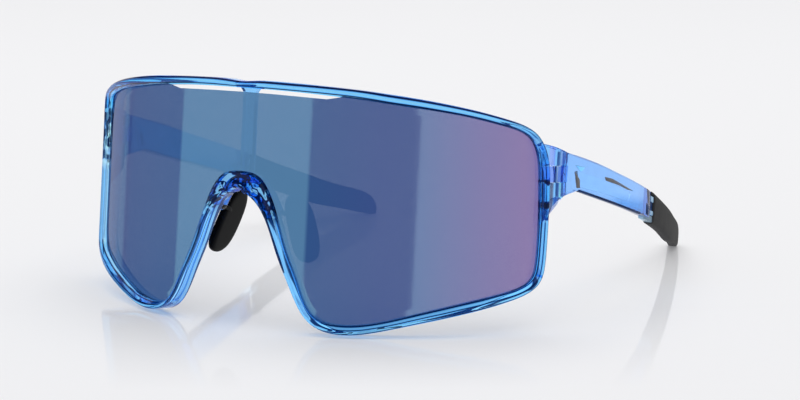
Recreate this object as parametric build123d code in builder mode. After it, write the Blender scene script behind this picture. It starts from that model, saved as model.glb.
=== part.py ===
from build123d import *
import math
import os

# Wraparound sport sunglasses with one cylindrical shield lens, in millimetres.
# The glasses stand on the lower edge of the front and on the two temple tips:
# the floor is Z = 0, the front faces -Y and +X is the wearer's left. The plane
# X = 0 is the plane of symmetry. Paired pieces are built on the left and mirrored.
#
# Most shapes are drawn in the lens frame: its z is the axis direction of the lens
# cylinder, its y points back and its origin is the foremost point of the lens.

# ---------------------------------------------------------------- dimensions
LENS_RADIUS = 83.95      # front surface of the lens (the wrap)
RAKE = 6.816             # the top of the lens leans back by this angle, degrees
ORIGIN_Y = -70.24        # lens apex in Y, so that Y = 0 is the middle of the box
ORIGIN_Z = 30.40         # height of the mid line of the lens over the floor

LIP = 2.0                # the rim stands this far in front of the lens
RIM_BACK = 3.2           # rear face of the rim, behind the front of the lens
LIP_STEP = 0.7           # height of the lip next to the lens
LIP_LEDGE = 0.55         # width of that lower ledge
LENS_THICK = 2.0
GROOVE = 1.0             # how far the lens edge sits inside the rim
FIT = 0.05               # clearance round the lens edge

PIN_X = 66.9             # hinge pin axis
PIN_Y = 38.5
PIN_RADIUS = 0.80
KNUCKLE_RADIUS = 1.75
LUG_ROUND = 1.8          # radius of the lug's rear inner corner, about the pin axis
LUG_END = PIN_Y + LUG_ROUND
LUG_LOW = 5.80           # underside of the lug at the pin
SPLIT_LOW = 9.70         # middle knuckle, from and to
SPLIT_HIGH = 13.60
GAP = 0.08               # running gap between knuckle faces
HINGE_OUTER_X = 68.42    # outer face of lug and temple at the hinge

TEMPLE_THICK = 3.0
TEMPLE_START = LUG_END + GAP
TEMPLE_END = 97.6        # rear end of the stiff temple
TANG_END = 101.0         # tang that runs into the rubber tip
TIP_START = 95.0         # the rubber tip overlaps the temple from here
TIP_END = 146.0

# Half outline of the window in the front: arc length from the middle, height.
WINDOW = [
    (0.00, 28.30), (7.72, 28.27), (15.46, 28.10), (21.00, 27.86), (26.00, 27.60),
    (31.50, 27.25), (38.03, 26.62), (45.24, 25.95), (52.30, 25.19), (59.20, 24.14),
    (65.93, 22.76), (70.48, 21.44), (72.45, 20.21), (73.75, 18.48), (74.86, 15.41),
    (75.45, 10.46), (75.89, 3.07), (76.07, -3.86), (75.88, -10.32),
    (75.36, -12.92), (74.40, -14.43), (72.54, -15.82), (68.61, -17.31),
    (61.34, -19.36), (53.89, -21.42), (46.61, -23.51), (39.62, -25.54),
    (33.73, -26.85), (28.62, -27.29), (24.54, -26.92), (22.30, -26.06),
    (20.49, -24.49), (18.69, -21.59), (16.39, -16.26), (13.73, -10.75),
    (11.45, -4.52), (9.25, 1.13), (7.14, 4.78), (5.36, 6.63), (3.41, 7.55),
    (0.00, 7.90),
]
# Half outline of the outside of the front: arc length from the middle, height.
OUTSIDE = [
    (0.00, 30.43), (7.58, 30.39), (15.15, 30.24), (22.68, 29.98), (30.14, 29.59),
    (37.51, 29.04), (44.80, 28.29), (51.95, 27.33), (58.80, 26.15), (65.45, 24.70),
    (70.55, 23.11), (73.30, 21.53), (75.15, 19.47), (76.60, 16.45), (77.47, 12.40),
    (77.76, 6.51), (77.78, -0.98), (77.71, -8.00), (77.27, -12.62), (76.50, -14.60),
    (75.00, -16.25), (71.85, -18.10), (66.10, -20.35), (59.75, -22.29),
    (52.84, -24.22), (45.42, -26.14), (38.40, -28.00), (32.62, -29.25),
    (28.46, -29.53), (24.90, -28.98), (22.10, -27.76), (19.90, -25.90),
    (16.95, -21.32), (13.85, -15.48), (11.48, -10.09), (9.17, -4.53),
    (7.15, -1.01), (5.05, 1.20), (2.80, 2.41), (0.00, 2.82),
]

# ---------------------------------------------------------------- lens frame
TILT = math.radians(RAKE)
LEFT = Vector(1, 0, 0)                                 # lens frame +x
BACK = Vector(0, math.cos(TILT), -math.sin(TILT))      # lens frame +y
AXIS = Vector(0, math.sin(TILT), math.cos(TILT))       # lens frame +z


def spot(x, y, z):
    """A point given in the lens frame."""
    return Vector(0, ORIGIN_Y, ORIGIN_Z) + LEFT * x + BACK * y + AXIS * z


def level(z):
    """Sketch plane across the lens axis: sketch x, y = lens frame x, y."""
    return Plane(origin=spot(0, 0, z), x_dir=LEFT, z_dir=AXIS)


def front(y):
    """Sketch plane that faces forward: sketch x, y = lens frame x, z."""
    return Plane(origin=spot(0, y, 0), x_dir=LEFT, z_dir=-BACK)


def side(x):
    """Sketch plane seen from the wearer's left: sketch x, y = lens frame y, z."""
    return Plane(origin=spot(x, 0, 0), x_dir=BACK, z_dir=LEFT)


# ---------------------------------------------------------------- wrapped shapes
PRISM_FRONT, PRISM_BACK = -7.0, 70.0   # y of the two ends of a radial prism
SHELL_ANGLE = math.radians(56.0)       # a half shell runs from the middle to here
SHELL_LOW, SHELL_HIGH = -32, 32        # z range that clears the whole front


def grown(points, amount):
    """Move a half outline outward by amount, square to its own direction."""
    moved = []
    last = len(points) - 1
    for i, (arc, z) in enumerate(points):
        arc_before, z_before = points[max(i - 1, 0)]
        arc_after, z_after = points[min(i + 1, last)]
        step_arc, step_z = arc_after - arc_before, z_after - z_before
        if i in (0, last):
            step_arc, step_z = (1, 0) if i == 0 else (-1, 0)
        length = math.hypot(step_arc, step_z)
        moved.append((arc - step_z / length * amount, z + step_arc / length * amount))
    return moved


def radial_half(points):
    """Half prism whose walls all point at the lens axis, over a half outline.

    Both end outlines share one set of spline parameters, so that each ruling of
    the loft joins the same outline point and runs square to the lens axis.
    """
    along = [0.0]
    for (arc_a, z_a), (arc_b, z_b) in zip(points, points[1:]):
        along.append(along[-1] + math.hypot(arc_b - arc_a, z_b - z_a))
    with BuildPart() as half:
        for y in (PRISM_FRONT, PRISM_BACK):
            reach = LENS_RADIUS - y
            flat = [(reach * math.tan(arc / LENS_RADIUS), z) for arc, z in points]
            curve = Edge.make_spline(
                [Vector(x, z) for x, z in flat],
                tangents=[Vector(reach / LENS_RADIUS, 0), Vector(-reach / LENS_RADIUS, 0)],
                parameters=along,
                scale=False,
            )
            with BuildSketch(front(y)):
                with BuildLine():
                    add(curve)
                    Line(flat[-1], flat[0])
                make_face()
        loft(ruled=True)
    return half.part


def shell_half(outer_radius, inner_radius):
    """Half of a cylindrical shell on the lens axis."""
    outer, inner = [
        [
            (radius * math.sin(angle), LENS_RADIUS - radius * math.cos(angle))
            for angle in (0, SHELL_ANGLE / 2, SHELL_ANGLE)
        ]
        for radius in (outer_radius, inner_radius)
    ]
    with BuildPart() as shell:
        with BuildSketch(level(SHELL_LOW)):
            with BuildLine():
                ThreePointArc(*outer)
                Line(outer[-1], inner[-1])
                ThreePointArc(*inner[::-1])
                Line(inner[0], outer[0])
            make_face()
        extrude(amount=SHELL_HIGH - SHELL_LOW)
    return shell.part


def mirrored(part):
    """The same piece on the wearer's right."""
    with BuildPart() as right:
        mirror(part, about=Plane.YZ)
    return right.part


def both_halves(half):
    """A left half joined to its mirror image."""
    with BuildPart() as whole:
        add(half)
        mirror(half, about=Plane.YZ)
    return whole.part


# ---------------------------------------------------------------- lens
# Free top edge of the lens, along the two vents: x, z.
FREE_EDGE = [(-1.0, 27.30), (1.0, 27.30), (9.0, 27.22), (17.0, 27.03), (22.0, 26.88),
             (25.6, 27.62)]
TRIM_START = FREE_EDGE[0][0]    # the trims start just past the middle
TRIM_TOP = 34                   # and end above the front
TRIM_DEPTH = 30
ROOM_TRIM_X, ROOM_TRIM_Z = 25.5, 27.6

# The lens edge sits in the groove all round except along the free edge.
with BuildPart() as lens_half:
    add(shell_half(LENS_RADIUS, LENS_RADIUS - LENS_THICK))
    add(radial_half(grown(WINDOW, GROOVE)), mode=Mode.INTERSECT)
    with BuildSketch(front(PRISM_FRONT)):
        with BuildLine():
            Polyline(*FREE_EDGE, (FREE_EDGE[-1][0], TRIM_TOP), (TRIM_START, TRIM_TOP),
                     close=True)
        make_face()
    extrude(amount=-TRIM_DEPTH, mode=Mode.SUBTRACT)

lens = both_halves(lens_half.part)

# Room for the lens: nearly the same shape, a little larger, cuts the groove.
with BuildPart() as lens_room:
    add(shell_half(LENS_RADIUS + FIT, LENS_RADIUS - LENS_THICK - FIT))
    add(radial_half(grown(WINDOW, GROOVE + FIT)), mode=Mode.INTERSECT)
    # none is needed in the bar over the free edge
    with BuildSketch(front(PRISM_FRONT)):
        with BuildLine():
            Polyline((TRIM_START, ROOM_TRIM_Z), (ROOM_TRIM_X, ROOM_TRIM_Z),
                     (ROOM_TRIM_X, TRIM_TOP), (TRIM_START, TRIM_TOP), close=True)
        make_face()
    extrude(amount=-TRIM_DEPTH, mode=Mode.SUBTRACT)

# ---------------------------------------------------------------- front frame
LUG_HEIGHT = 18.6               # plan shape is extruded up from z = 0 by this
LUG_X = (60, 72)                # x range of the side profile
# Plan of the lug, x, y: outer side to the rear, then inner side to the front.
LUG_OUTER_SIDE = [(64.9, 31.2), (66.6, 32.6), (67.6, 34.2), (68.25, 36.0),
                  (HINGE_OUTER_X, 38.0), (HINGE_OUTER_X, LUG_END), (PIN_X, LUG_END)]
LUG_INNER_SIDE = [(PIN_X - LUG_ROUND, PIN_Y), (65.1, 37.2), (64.7, 36.3), (63.6, 35.6),
                  (62.9, 34.5), LUG_OUTER_SIDE[0]]
# Side profile of the lug, y, z: underside to the rear, then top to the front.
LUG_UNDERSIDE = [(30.0, -3.0), (33.6, 0.6), (34.8, 3.6), (36.2, 4.9),
                 (38.8, LUG_LOW), (40.6, 6.3)]
LUG_TOP = [(40.6, 16.85), (38.4, 17.45), (35.6, 17.9), (33.4, 18.0), (30.0, 18.3)]
# Plan of the slot for the middle knuckle, x, y.
LUG_SLOT = [(61.0, 36.45), (64.2, 36.45), (69.5, 35.9), (69.5, 41.5), (61.0, 41.5)]
BORE_TOP = 20
LUG_BORE_LOW, FRAME_BORE_LOW = 0, 4.0

# Lug at the end of the rim: two knuckles with a slot for the temple between.
with BuildPart() as lug:
    with BuildSketch(level(0)):
        with BuildLine():
            Polyline(*LUG_OUTER_SIDE)
            ThreePointArc(LUG_OUTER_SIDE[-1], (65.63, 39.77), LUG_INNER_SIDE[0])
            Polyline(*LUG_INNER_SIDE)
        make_face()
    extrude(amount=LUG_HEIGHT)
    with BuildSketch(side(LUG_X[0])):
        with BuildLine():
            Spline(*LUG_UNDERSIDE)
            Line(LUG_UNDERSIDE[-1], LUG_TOP[0])
            Spline(*LUG_TOP)
            Line(LUG_TOP[-1], LUG_UNDERSIDE[0])
        make_face()
    extrude(amount=LUG_X[1] - LUG_X[0], mode=Mode.INTERSECT)
    with BuildSketch(level(SPLIT_LOW - GAP)):
        with BuildLine():
            Polyline(*LUG_SLOT, close=True)
        make_face()
    extrude(amount=SPLIT_HIGH - SPLIT_LOW + 2 * GAP, mode=Mode.SUBTRACT)
    # bore for the pin
    with BuildSketch(level(LUG_BORE_LOW)):
        with Locations((PIN_X, PIN_Y)):
            Circle(PIN_RADIUS)
    extrude(amount=BORE_TOP - LUG_BORE_LOW, mode=Mode.SUBTRACT)

# Spine behind the lens, from the top bar down to the bridge. Half outline: x, z.
SPINE = [(0, 29.6), (4.0, 29.6), (2.75, 28.25), (1.85, 27.2), (1.85, 6.6), (0, 6.6)]
SPINE_BACK = 3.6         # rear face, behind the front of the lens
SPINE_BLANK = 12         # depth before it is cut to the curve

with BuildPart() as spine:
    with BuildSketch(front(0)):
        with BuildLine():
            Polyline(*SPINE, close=True)
        make_face()
    extrude(amount=-SPINE_BLANK)
    add(shell_half(LENS_RADIUS - LENS_THICK - FIT, LENS_RADIUS - SPINE_BACK),
        mode=Mode.INTERSECT)

# The front lip is lower right beside the lens; this cutter reaches past the lip.
LEDGE_OVER = 1.0
with BuildPart() as ledge:
    add(shell_half(LENS_RADIUS + LIP + LEDGE_OVER, LENS_RADIUS + LIP_STEP))
    add(radial_half(grown(WINDOW, LIP_LEDGE)), mode=Mode.INTERSECT)

with BuildPart() as front_half:
    add(shell_half(LENS_RADIUS + LIP, LENS_RADIUS - RIM_BACK))
    add(radial_half(OUTSIDE), mode=Mode.INTERSECT)
    add(radial_half(WINDOW), mode=Mode.SUBTRACT)
    add(ledge.part, mode=Mode.SUBTRACT)
    add(lug.part)
    add(lens_room.part, mode=Mode.SUBTRACT)
    add(spine.part)
    # the pin bore stays open through both knuckles
    with BuildSketch(level(FRAME_BORE_LOW)):
        with Locations((PIN_X, PIN_Y)):
            Circle(PIN_RADIUS)
    extrude(amount=BORE_TOP - FRAME_BORE_LOW, mode=Mode.SUBTRACT)

front_frame = both_halves(front_half.part)

# ---------------------------------------------------------------- temple plan
# Outer face of a temple in plan, y, x: it runs straight back and then curves in.
OUTER_FACE = [
    (TEMPLE_START, HINGE_OUTER_X), (50.0, 68.65), (60.0, 68.70), (70.0, 68.45),
    (80.0, 67.85), (90.0, 66.95), (100.0, 65.55), (110.0, 63.60), (120.0, 61.10),
    (130.0, 58.10), (138.0, 55.30), (TIP_END, 52.20),
]
STRIP_STEPS = 9          # intervals along each long side of a strip
SLOPE_REACH = 2          # the slope is taken over this far either way


def plan_x(y):
    """Outer face of the temple at y, by straight interpolation."""
    for (y_a, x_a), (y_b, x_b) in zip(OUTER_FACE, OUTER_FACE[1:]):
        if y <= y_b:
            return x_a + (x_b - x_a) * (y - y_a) / (y_b - y_a)
    return OUTER_FACE[-1][1]


def plan_row(y_start, y_end, inset):
    """Plan points from y_start to y_end, inset from the outer face of the temple."""
    row = []
    for i in range(STRIP_STEPS + 1):
        y = y_start + (y_end - y_start) * i / STRIP_STEPS
        slope = (plan_x(y + SLOPE_REACH) - plan_x(y - SLOPE_REACH)) / (2 * SLOPE_REACH)
        row.append((plan_x(y) - inset * math.sqrt(1 + slope * slope), y))
    return row


def draw_strip(y_start, y_end, outer_inset, inner_inset):
    """Draw the plan outline of a piece of temple into the open BuildLine."""
    outer = plan_row(y_start, y_end, outer_inset)
    inner = plan_row(y_start, y_end, inner_inset)
    Spline(*outer)
    Line(outer[-1], inner[-1])
    Spline(*inner[::-1])
    Line(inner[0], outer[0])


# ---------------------------------------------------------------- temple
TEMPLE_Z = (-20, 25)            # blank, before the side profile is cut
TEMPLE_X = (40, 80)
PROFILE_FRONT = LUG_END - 1     # the side profile runs past both ends
PROFILE_BACK = TEMPLE_END + 1
# Side profile, y, z: top edge to the rear, then bottom edge to the front.
TEMPLE_TOP = [(PROFILE_FRONT, 17.15), (45.0, 16.2), (58.8, 13.6), (69.0, 11.3),
              (80.5, 8.8), (PROFILE_BACK, 4.5)]
TEMPLE_BOTTOM = [(PROFILE_BACK, -2.4), (94.4, -1.7), (85.8, 0.0), (78.3, 1.5),
                 (65.0, 4.0), (55.2, 5.9), (47.6, 7.35)]
TEMPLE_FRONT_LOW = (PROFILE_FRONT, 6.05)
TEMPLE_ROUND = 0.55
LONG_EDGE = 30                  # only edges longer than this are rounded
TANG_START = TEMPLE_END - 1.0
TANG_INSET = 0.75               # on both faces
TANG_LOW, TANG_HEIGHT = -1.0, 4.0
KNUCKLE_WEB_X = PIN_X - 1.45    # inner side of the web from knuckle to temple
KNUCKLE_WEB_END = LUG_END + 0.6
KNUCKLE_PLAY = 0.03             # bore radius over pin radius
BORE_OVER = 1                   # the bore cutter passes the knuckle at each end
# Outline of the badge pocket, a long slanted bar: y, z.
POCKET = [(47.4, 8.3), (46.2, 12.3), (62.0, 9.7), (79.0, 5.6), (77.6, 3.3), (62.6, 6.0)]
POCKET_FLOOR_X = 66.95
POCKET_CUT_X = 75               # the cutter starts outside the temple

with BuildPart() as temple_left:
    with BuildSketch(level(TEMPLE_Z[0])):
        with BuildLine():
            draw_strip(TEMPLE_START, TEMPLE_END, 0.0, TEMPLE_THICK)
        make_face()
    extrude(amount=TEMPLE_Z[1] - TEMPLE_Z[0])
    with BuildSketch(side(TEMPLE_X[0])):
        with BuildLine():
            Spline(*TEMPLE_TOP)
            Line(TEMPLE_TOP[-1], TEMPLE_BOTTOM[0])
            Spline(*TEMPLE_BOTTOM)
            Line(TEMPLE_BOTTOM[-1], TEMPLE_FRONT_LOW)
            Line(TEMPLE_FRONT_LOW, TEMPLE_TOP[0])
        make_face()
    extrude(amount=TEMPLE_X[1] - TEMPLE_X[0], mode=Mode.INTERSECT)
    long_edges = temple_left.edges().filter_by(lambda edge: edge.length > LONG_EDGE)
    fillet(long_edges, TEMPLE_ROUND)
    # tang that carries the rubber tip
    with BuildSketch(level(TANG_LOW)):
        with BuildLine():
            draw_strip(TANG_START, TANG_END, TANG_INSET, TEMPLE_THICK - TANG_INSET)
        make_face()
    extrude(amount=TANG_HEIGHT)
    # middle knuckle
    with BuildSketch(level(SPLIT_LOW)):
        with Locations((PIN_X, PIN_Y)):
            Circle(KNUCKLE_RADIUS)
        with BuildLine():
            Polyline((KNUCKLE_WEB_X, PIN_Y), (HINGE_OUTER_X, PIN_Y),
                     (HINGE_OUTER_X, KNUCKLE_WEB_END), (KNUCKLE_WEB_X, KNUCKLE_WEB_END),
                     close=True)
        make_face()
    extrude(amount=SPLIT_HIGH - SPLIT_LOW)
    with BuildSketch(level(SPLIT_LOW - BORE_OVER)):
        with Locations((PIN_X, PIN_Y)):
            Circle(PIN_RADIUS + KNUCKLE_PLAY)
    extrude(amount=SPLIT_HIGH - SPLIT_LOW + 2 * BORE_OVER, mode=Mode.SUBTRACT)
    # shallow badge pocket in the outer face
    with BuildSketch(side(POCKET_CUT_X)):
        with BuildLine():
            Polyline(*POCKET, close=True)
        make_face()
    extrude(amount=-(POCKET_CUT_X - POCKET_FLOOR_X), mode=Mode.SUBTRACT)

# ---------------------------------------------------------------- temple inlay
# The badge fills the pocket with a little clearance. Outline: y, z.
BADGE = [(47.45, 8.35), (46.27, 12.22), (62.0, 9.62), (78.92, 5.55), (77.57, 3.38),
         (62.6, 6.08)]
BADGE_X = (60, 72)                      # x range of the cutter
BADGE_INNER_X = POCKET_FLOOR_X + 0.03
BADGE_INSET = 0.25                      # outer face, under that of the temple
INLAY_START, INLAY_END = 44.0, 82.0     # y range of the blank
INLAY_HEIGHT = 16

with BuildPart() as badge_tool:
    with BuildSketch(side(BADGE_X[0])):
        with BuildLine():
            Polyline(*BADGE, close=True)
        make_face()
    extrude(amount=BADGE_X[1] - BADGE_X[0])

inlay_face = plan_row(INLAY_START, INLAY_END, BADGE_INSET)
with BuildPart() as temple_inlay_left:
    with BuildSketch(level(0)):
        with BuildLine():
            Spline(*inlay_face)
            Line(inlay_face[-1], (BADGE_INNER_X, INLAY_END))
            Line((BADGE_INNER_X, INLAY_END), (BADGE_INNER_X, INLAY_START))
            Line((BADGE_INNER_X, INLAY_START), inlay_face[0])
        make_face()
    extrude(amount=INLAY_HEIGHT)
    add(badge_tool.part, mode=Mode.INTERSECT)

# ---------------------------------------------------------------- temple tip
TIP_Z = (-22, 23)               # blank, before the side profile is cut
TIP_X = (30, 80)
TIP_OUTER_PROUD = 0.25          # over the faces of the temple
TIP_INNER_PROUD = 0.35
TIP_ROUND = 0.8
# Side profile, y, z: top edge to the rear, then bottom edge to the front.
TIP_TOP = [
    (TIP_START, 5.75), (100.0, 4.35), (107.6, 2.2), (120.2, -1.2), (130.0, -3.9),
    (138.0, -5.6), (142.5, -7.0), (144.9, -9.0), (145.6, -11.0), (145.2, -12.6),
]
TIP_CORNER = (144.6, -13.25)
TIP_BOTTOM = [
    (143.6, -13.35), (141.0, -13.0), (135.0, -11.9), (125.0, -10.3),
    (112.9, -7.2), (104.0, -5.0), (TIP_START, -2.9),
]

with BuildPart() as temple_tip_solid:
    with BuildSketch(level(TIP_Z[0])):
        with BuildLine():
            draw_strip(TIP_START, TIP_END, -TIP_OUTER_PROUD, TEMPLE_THICK + TIP_INNER_PROUD)
        make_face()
    extrude(amount=TIP_Z[1] - TIP_Z[0])
    with BuildSketch(side(TIP_X[0])):
        with BuildLine():
            Spline(*TIP_TOP)
            ThreePointArc(TIP_TOP[-1], TIP_CORNER, TIP_BOTTOM[0])
            Spline(*TIP_BOTTOM)
            Line(TIP_BOTTOM[-1], TIP_TOP[0])
        make_face()
    extrude(amount=TIP_X[1] - TIP_X[0], mode=Mode.INTERSECT)
    fillet(temple_tip_solid.edges(), TIP_ROUND)
    add(temple_left.part, mode=Mode.SUBTRACT)

# Bendable core: a steel wire that lies along the middle of the tip. Path: y, z.
TIP_WIRE = [(TANG_END + 0.4, 0.3), (110.0, -2.3), (120.0, -5.2), (130.0, -7.6),
            (138.0, -9.6)]
TIP_WIRE_RADIUS = 0.65
TIP_WIRE_INSET = TEMPLE_THICK / 2 + (TIP_INNER_PROUD - TIP_OUTER_PROUD) / 2

with BuildPart() as tip_core_left:
    with BuildLine():
        core_line = Spline(*[spot(plan_x(y) - TIP_WIRE_INSET, y, z) for y, z in TIP_WIRE])
    with BuildSketch(Plane(origin=core_line @ 0, z_dir=core_line % 0)):
        Circle(TIP_WIRE_RADIUS)
    sweep()

with BuildPart() as temple_tip_left:
    add(temple_tip_solid.part)
    add(tip_core_left.part, mode=Mode.SUBTRACT)

# ---------------------------------------------------------------- hinge pin
PIN_LOW = LUG_LOW + 0.2
PIN_HIGH = 17.1
PIN_CHAMFER = 0.15

with BuildPart() as hinge_pin_left:
    with BuildSketch(level(PIN_LOW)):
        with Locations((PIN_X, PIN_Y)):
            Circle(PIN_RADIUS)
    extrude(amount=PIN_HIGH - PIN_LOW)
    chamfer(hinge_pin_left.edges().filter_by(GeomType.CIRCLE), PIN_CHAMFER)

# ---------------------------------------------------------------- nose arch
# A clear arch behind the bridge that carries the two pads. Half outline: x, z.
ARCH = [(0, 7.3), (3.4, 6.9), (5.6, 5.7), (7.5, 3.4), (9.4, -0.6), (11.2, -5.0),
        (9.3, -5.6), (7.3, -2.2), (5.3, 0.3), (2.9, 1.6), (0, 2.1)]
ARCH_FRONT = RIM_BACK + 0.05
ARCH_DEPTH = 5.4
ARCH_CLEARANCE = 0.02    # behind the curved rear face of the rim
# Raised flat seat in the middle of the rear face, for a clip-on insert.
SEAT_WIDTH, SEAT_HEIGHT, SEAT_PROUD = 5.6, 3.4, 0.35
SEAT_MID = 4.5
SEAT_CORNER = 0.8
SEAT_SUNK = 0.5          # the seat starts this deep in the arch
PAD_ROOT = (8.6, 5.6, -1.6)     # front end of the pad wire
PAD_WIRE_RADIUS = 0.55
ROOT_PLAY = 0.04         # hole radius over wire radius
ROOT_END_GAP = 0.05      # in front of the wire end
ROOT_HOLE_LENGTH = 6     # runs out through the rear face

with BuildPart() as nose_arch:
    with BuildSketch(front(ARCH_FRONT)):
        with BuildLine():
            Polyline(*ARCH, close=True)
        make_face()
        mirror(about=Plane.YZ)
    extrude(amount=-ARCH_DEPTH)
    with BuildSketch(level(SHELL_LOW)):
        with Locations((0, LENS_RADIUS)):
            Circle(LENS_RADIUS - RIM_BACK - ARCH_CLEARANCE)
    extrude(amount=SHELL_HIGH - SHELL_LOW, mode=Mode.INTERSECT)
    add(front_frame, mode=Mode.SUBTRACT)

with BuildPart() as nose_bridge_holder:
    add(nose_arch.part)
    with BuildSketch(front(ARCH_FRONT + ARCH_DEPTH - SEAT_SUNK)):
        with Locations((0, SEAT_MID)):
            RectangleRounded(SEAT_WIDTH, SEAT_HEIGHT, SEAT_CORNER)
    extrude(amount=-(SEAT_PROUD + SEAT_SUNK))
    # a blind hole on each side holds the root of the pad wire
    with BuildSketch(front(PAD_ROOT[1] - ROOT_END_GAP)):
        with Locations((PAD_ROOT[0], PAD_ROOT[2]), (-PAD_ROOT[0], PAD_ROOT[2])):
            Circle(PAD_WIRE_RADIUS + ROOT_PLAY)
    extrude(amount=-ROOT_HOLE_LENGTH, mode=Mode.SUBTRACT)

# ---------------------------------------------------------------- nose pad
# The plane of each pad stands nearly fore and aft and leans outward below.
PAD_MID = (11.4, 13.6, -5.4)
PAD_THICK = 2.3
PAD_ROUND = 0.7
PAD_LEAN = math.radians(21.0)    # the lower end leans out
PAD_FLARE = math.radians(12.0)   # the rear edge stands out
# Closed outline: along the pad (downward), across the pad.
PAD_OUTLINE = [(-8.5, 0.6), (-6.5, 3.4), (-1.0, 4.4), (4.5, 4.2), (7.9, 2.0),
               (8.3, -1.2), (5.5, -3.8), (0.0, -4.3), (-6.0, -2.9)]

pad_long = LEFT * math.sin(PAD_LEAN) - AXIS * math.cos(PAD_LEAN)
pad_wide = BACK * math.cos(PAD_FLARE) + LEFT * math.sin(PAD_FLARE)
pad_normal = pad_long.cross(pad_wide).normalized()
pad_plane = Plane(origin=spot(*PAD_MID), x_dir=pad_long, z_dir=pad_normal)

with BuildPart() as nose_pad_solid:
    with BuildSketch(pad_plane.offset(-PAD_THICK / 2)):
        with BuildLine():
            Spline(*PAD_OUTLINE, periodic=True)
        make_face()
    extrude(amount=PAD_THICK)
    fillet(nose_pad_solid.edges(), PAD_ROUND)

# Wire that joins a pad to the arch: straight back, then a bend that ends in the
# rubber. Points of the bend: x, y, z.
PAD_BEND = [(PAD_ROOT[0], 9.3, PAD_ROOT[2]), (9.6, 11.9, -2.6), (11.2, 13.2, -5.4),
            (13.0, 13.5, -9.6)]

with BuildPart() as pad_core_left:
    with BuildLine():
        pad_root = Line(spot(*PAD_ROOT), spot(*PAD_BEND[0]))
        Spline(*[spot(*point) for point in PAD_BEND], tangents=(BACK, pad_long))
    with BuildSketch(Plane(origin=pad_root @ 0, z_dir=BACK)):
        Circle(PAD_WIRE_RADIUS)
    sweep()

with BuildPart() as nose_pad_left:
    add(nose_pad_solid.part)
    add(pad_core_left.part, mode=Mode.SUBTRACT)

# ---------------------------------------------------------------- export
PAIRED = {
    "nose_pad": nose_pad_left,
    "nose_pad_wire": pad_core_left,
    "temple": temple_left,
    "temple_inlay": temple_inlay_left,
    "temple_tip": temple_tip_left,
    "temple_tip_wire": tip_core_left,
    "hinge_pin": hinge_pin_left,
}
pieces = {
    "front_frame": front_frame,
    "lens": lens,
    "nose_bridge_holder": nose_bridge_holder.part,
}
for name, builder in PAIRED.items():
    pieces[name + "_left"] = builder.part
    pieces[name + "_right"] = mirrored(builder.part)

os.makedirs("parts", exist_ok=True)
for name, piece in pieces.items():
    piece.label = name
    export_step(piece, "parts/" + name + ".step")
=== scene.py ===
# Shield sunglasses: one wrapped mirror lens in a clear blue rim, hinged temples
# with rubber tips, and two nose pads on stems. They stand on the floor (z = 0)
# facing -y, with +x at the wearer's left. Blender units are metres.
import math

import bpy
import bmesh
import numpy as np
from mathutils import Matrix, Vector
from mathutils.geometry import delaunay_2d_cdt


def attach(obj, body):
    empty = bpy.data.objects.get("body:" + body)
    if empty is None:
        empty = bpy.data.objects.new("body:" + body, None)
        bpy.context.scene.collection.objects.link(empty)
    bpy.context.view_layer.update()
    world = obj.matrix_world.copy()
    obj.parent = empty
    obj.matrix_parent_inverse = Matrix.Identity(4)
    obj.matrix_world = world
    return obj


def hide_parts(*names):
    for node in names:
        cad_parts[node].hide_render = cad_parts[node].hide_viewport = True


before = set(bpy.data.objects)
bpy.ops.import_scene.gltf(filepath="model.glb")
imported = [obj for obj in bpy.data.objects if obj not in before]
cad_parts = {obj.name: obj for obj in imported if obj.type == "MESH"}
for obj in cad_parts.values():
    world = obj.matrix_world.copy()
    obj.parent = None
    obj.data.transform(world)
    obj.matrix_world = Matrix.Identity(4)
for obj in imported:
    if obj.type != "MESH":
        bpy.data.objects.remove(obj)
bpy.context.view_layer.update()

# ------------------------------------------------------------------ dimensions
# Shapes are worked out in millimetres in the lens frame: z runs along the axis
# of the lens cylinder, y runs back from the front, x to the wearer's left, and
# s is the arc length on the front face. The lens frame leans back by the rake.
LENS_RADIUS = 83.95
LENS_THICK = 2.0
RAKE = math.radians(6.816)
RAKE_SIN, RAKE_COS = math.sin(RAKE), math.cos(RAKE)
ORIGIN_Y, ORIGIN_Z = -70.24, 30.40      # lens frame origin in the row frame
AXIS_Y = (LENS_RADIUS + ORIGIN_Y) * 0.001   # lens axis in the row frame, metres

RIM_PROUD = 2.0                         # rim crown in front of the lens face
RIM_BACK = 3.2                          # rear of the rim behind that face
LENS_SEAT = LENS_THICK + 0.06           # depth where parts behind the lens begin
PIN_X, PIN_Y = 66.9, 38.5               # hinge pin
HINGE_SIDE_X = 68.42                    # outer face of the hinge
LUG_END = 40.30
SPLIT_LOW, SPLIT_HIGH = 9.70, 13.60     # heights of the slot between the lugs
TEMPLE_THICK = 3.0
TEMPLE_END = 94.3

MIRROR = [-1, 1]                        # flips s in (s, z) rows
QUARTER = np.radians((0, 30, 60, 90))   # steps of a rounded edge

# Right half of each outline from the top middle round to the lower middle, (s, z).
WINDOW = [
    (0.00, 28.30), (7.72, 28.27), (15.46, 28.10), (21.00, 27.86), (26.00, 27.60),
    (31.50, 27.25), (38.03, 26.62), (45.24, 25.95), (52.30, 25.19), (59.20, 24.14),
    (65.93, 22.76), (70.48, 21.44), (72.45, 20.21), (73.75, 18.48), (74.86, 15.41),
    (75.45, 10.46), (75.89, 3.07), (76.07, -3.86), (75.88, -10.32),
    (75.36, -12.92), (74.40, -14.43), (72.54, -15.82), (68.61, -17.31),
    (61.34, -19.36), (53.89, -21.42), (46.61, -23.51), (39.62, -25.54),
    (33.73, -26.85), (28.62, -27.29), (24.54, -26.92), (22.30, -26.06),
    (20.49, -24.49), (18.69, -21.59), (16.39, -16.26), (13.73, -10.75),
    (11.45, -4.52), (9.25, 1.13), (7.14, 4.78), (5.36, 6.63), (3.41, 7.55),
    (0.00, 7.90),
]
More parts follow.
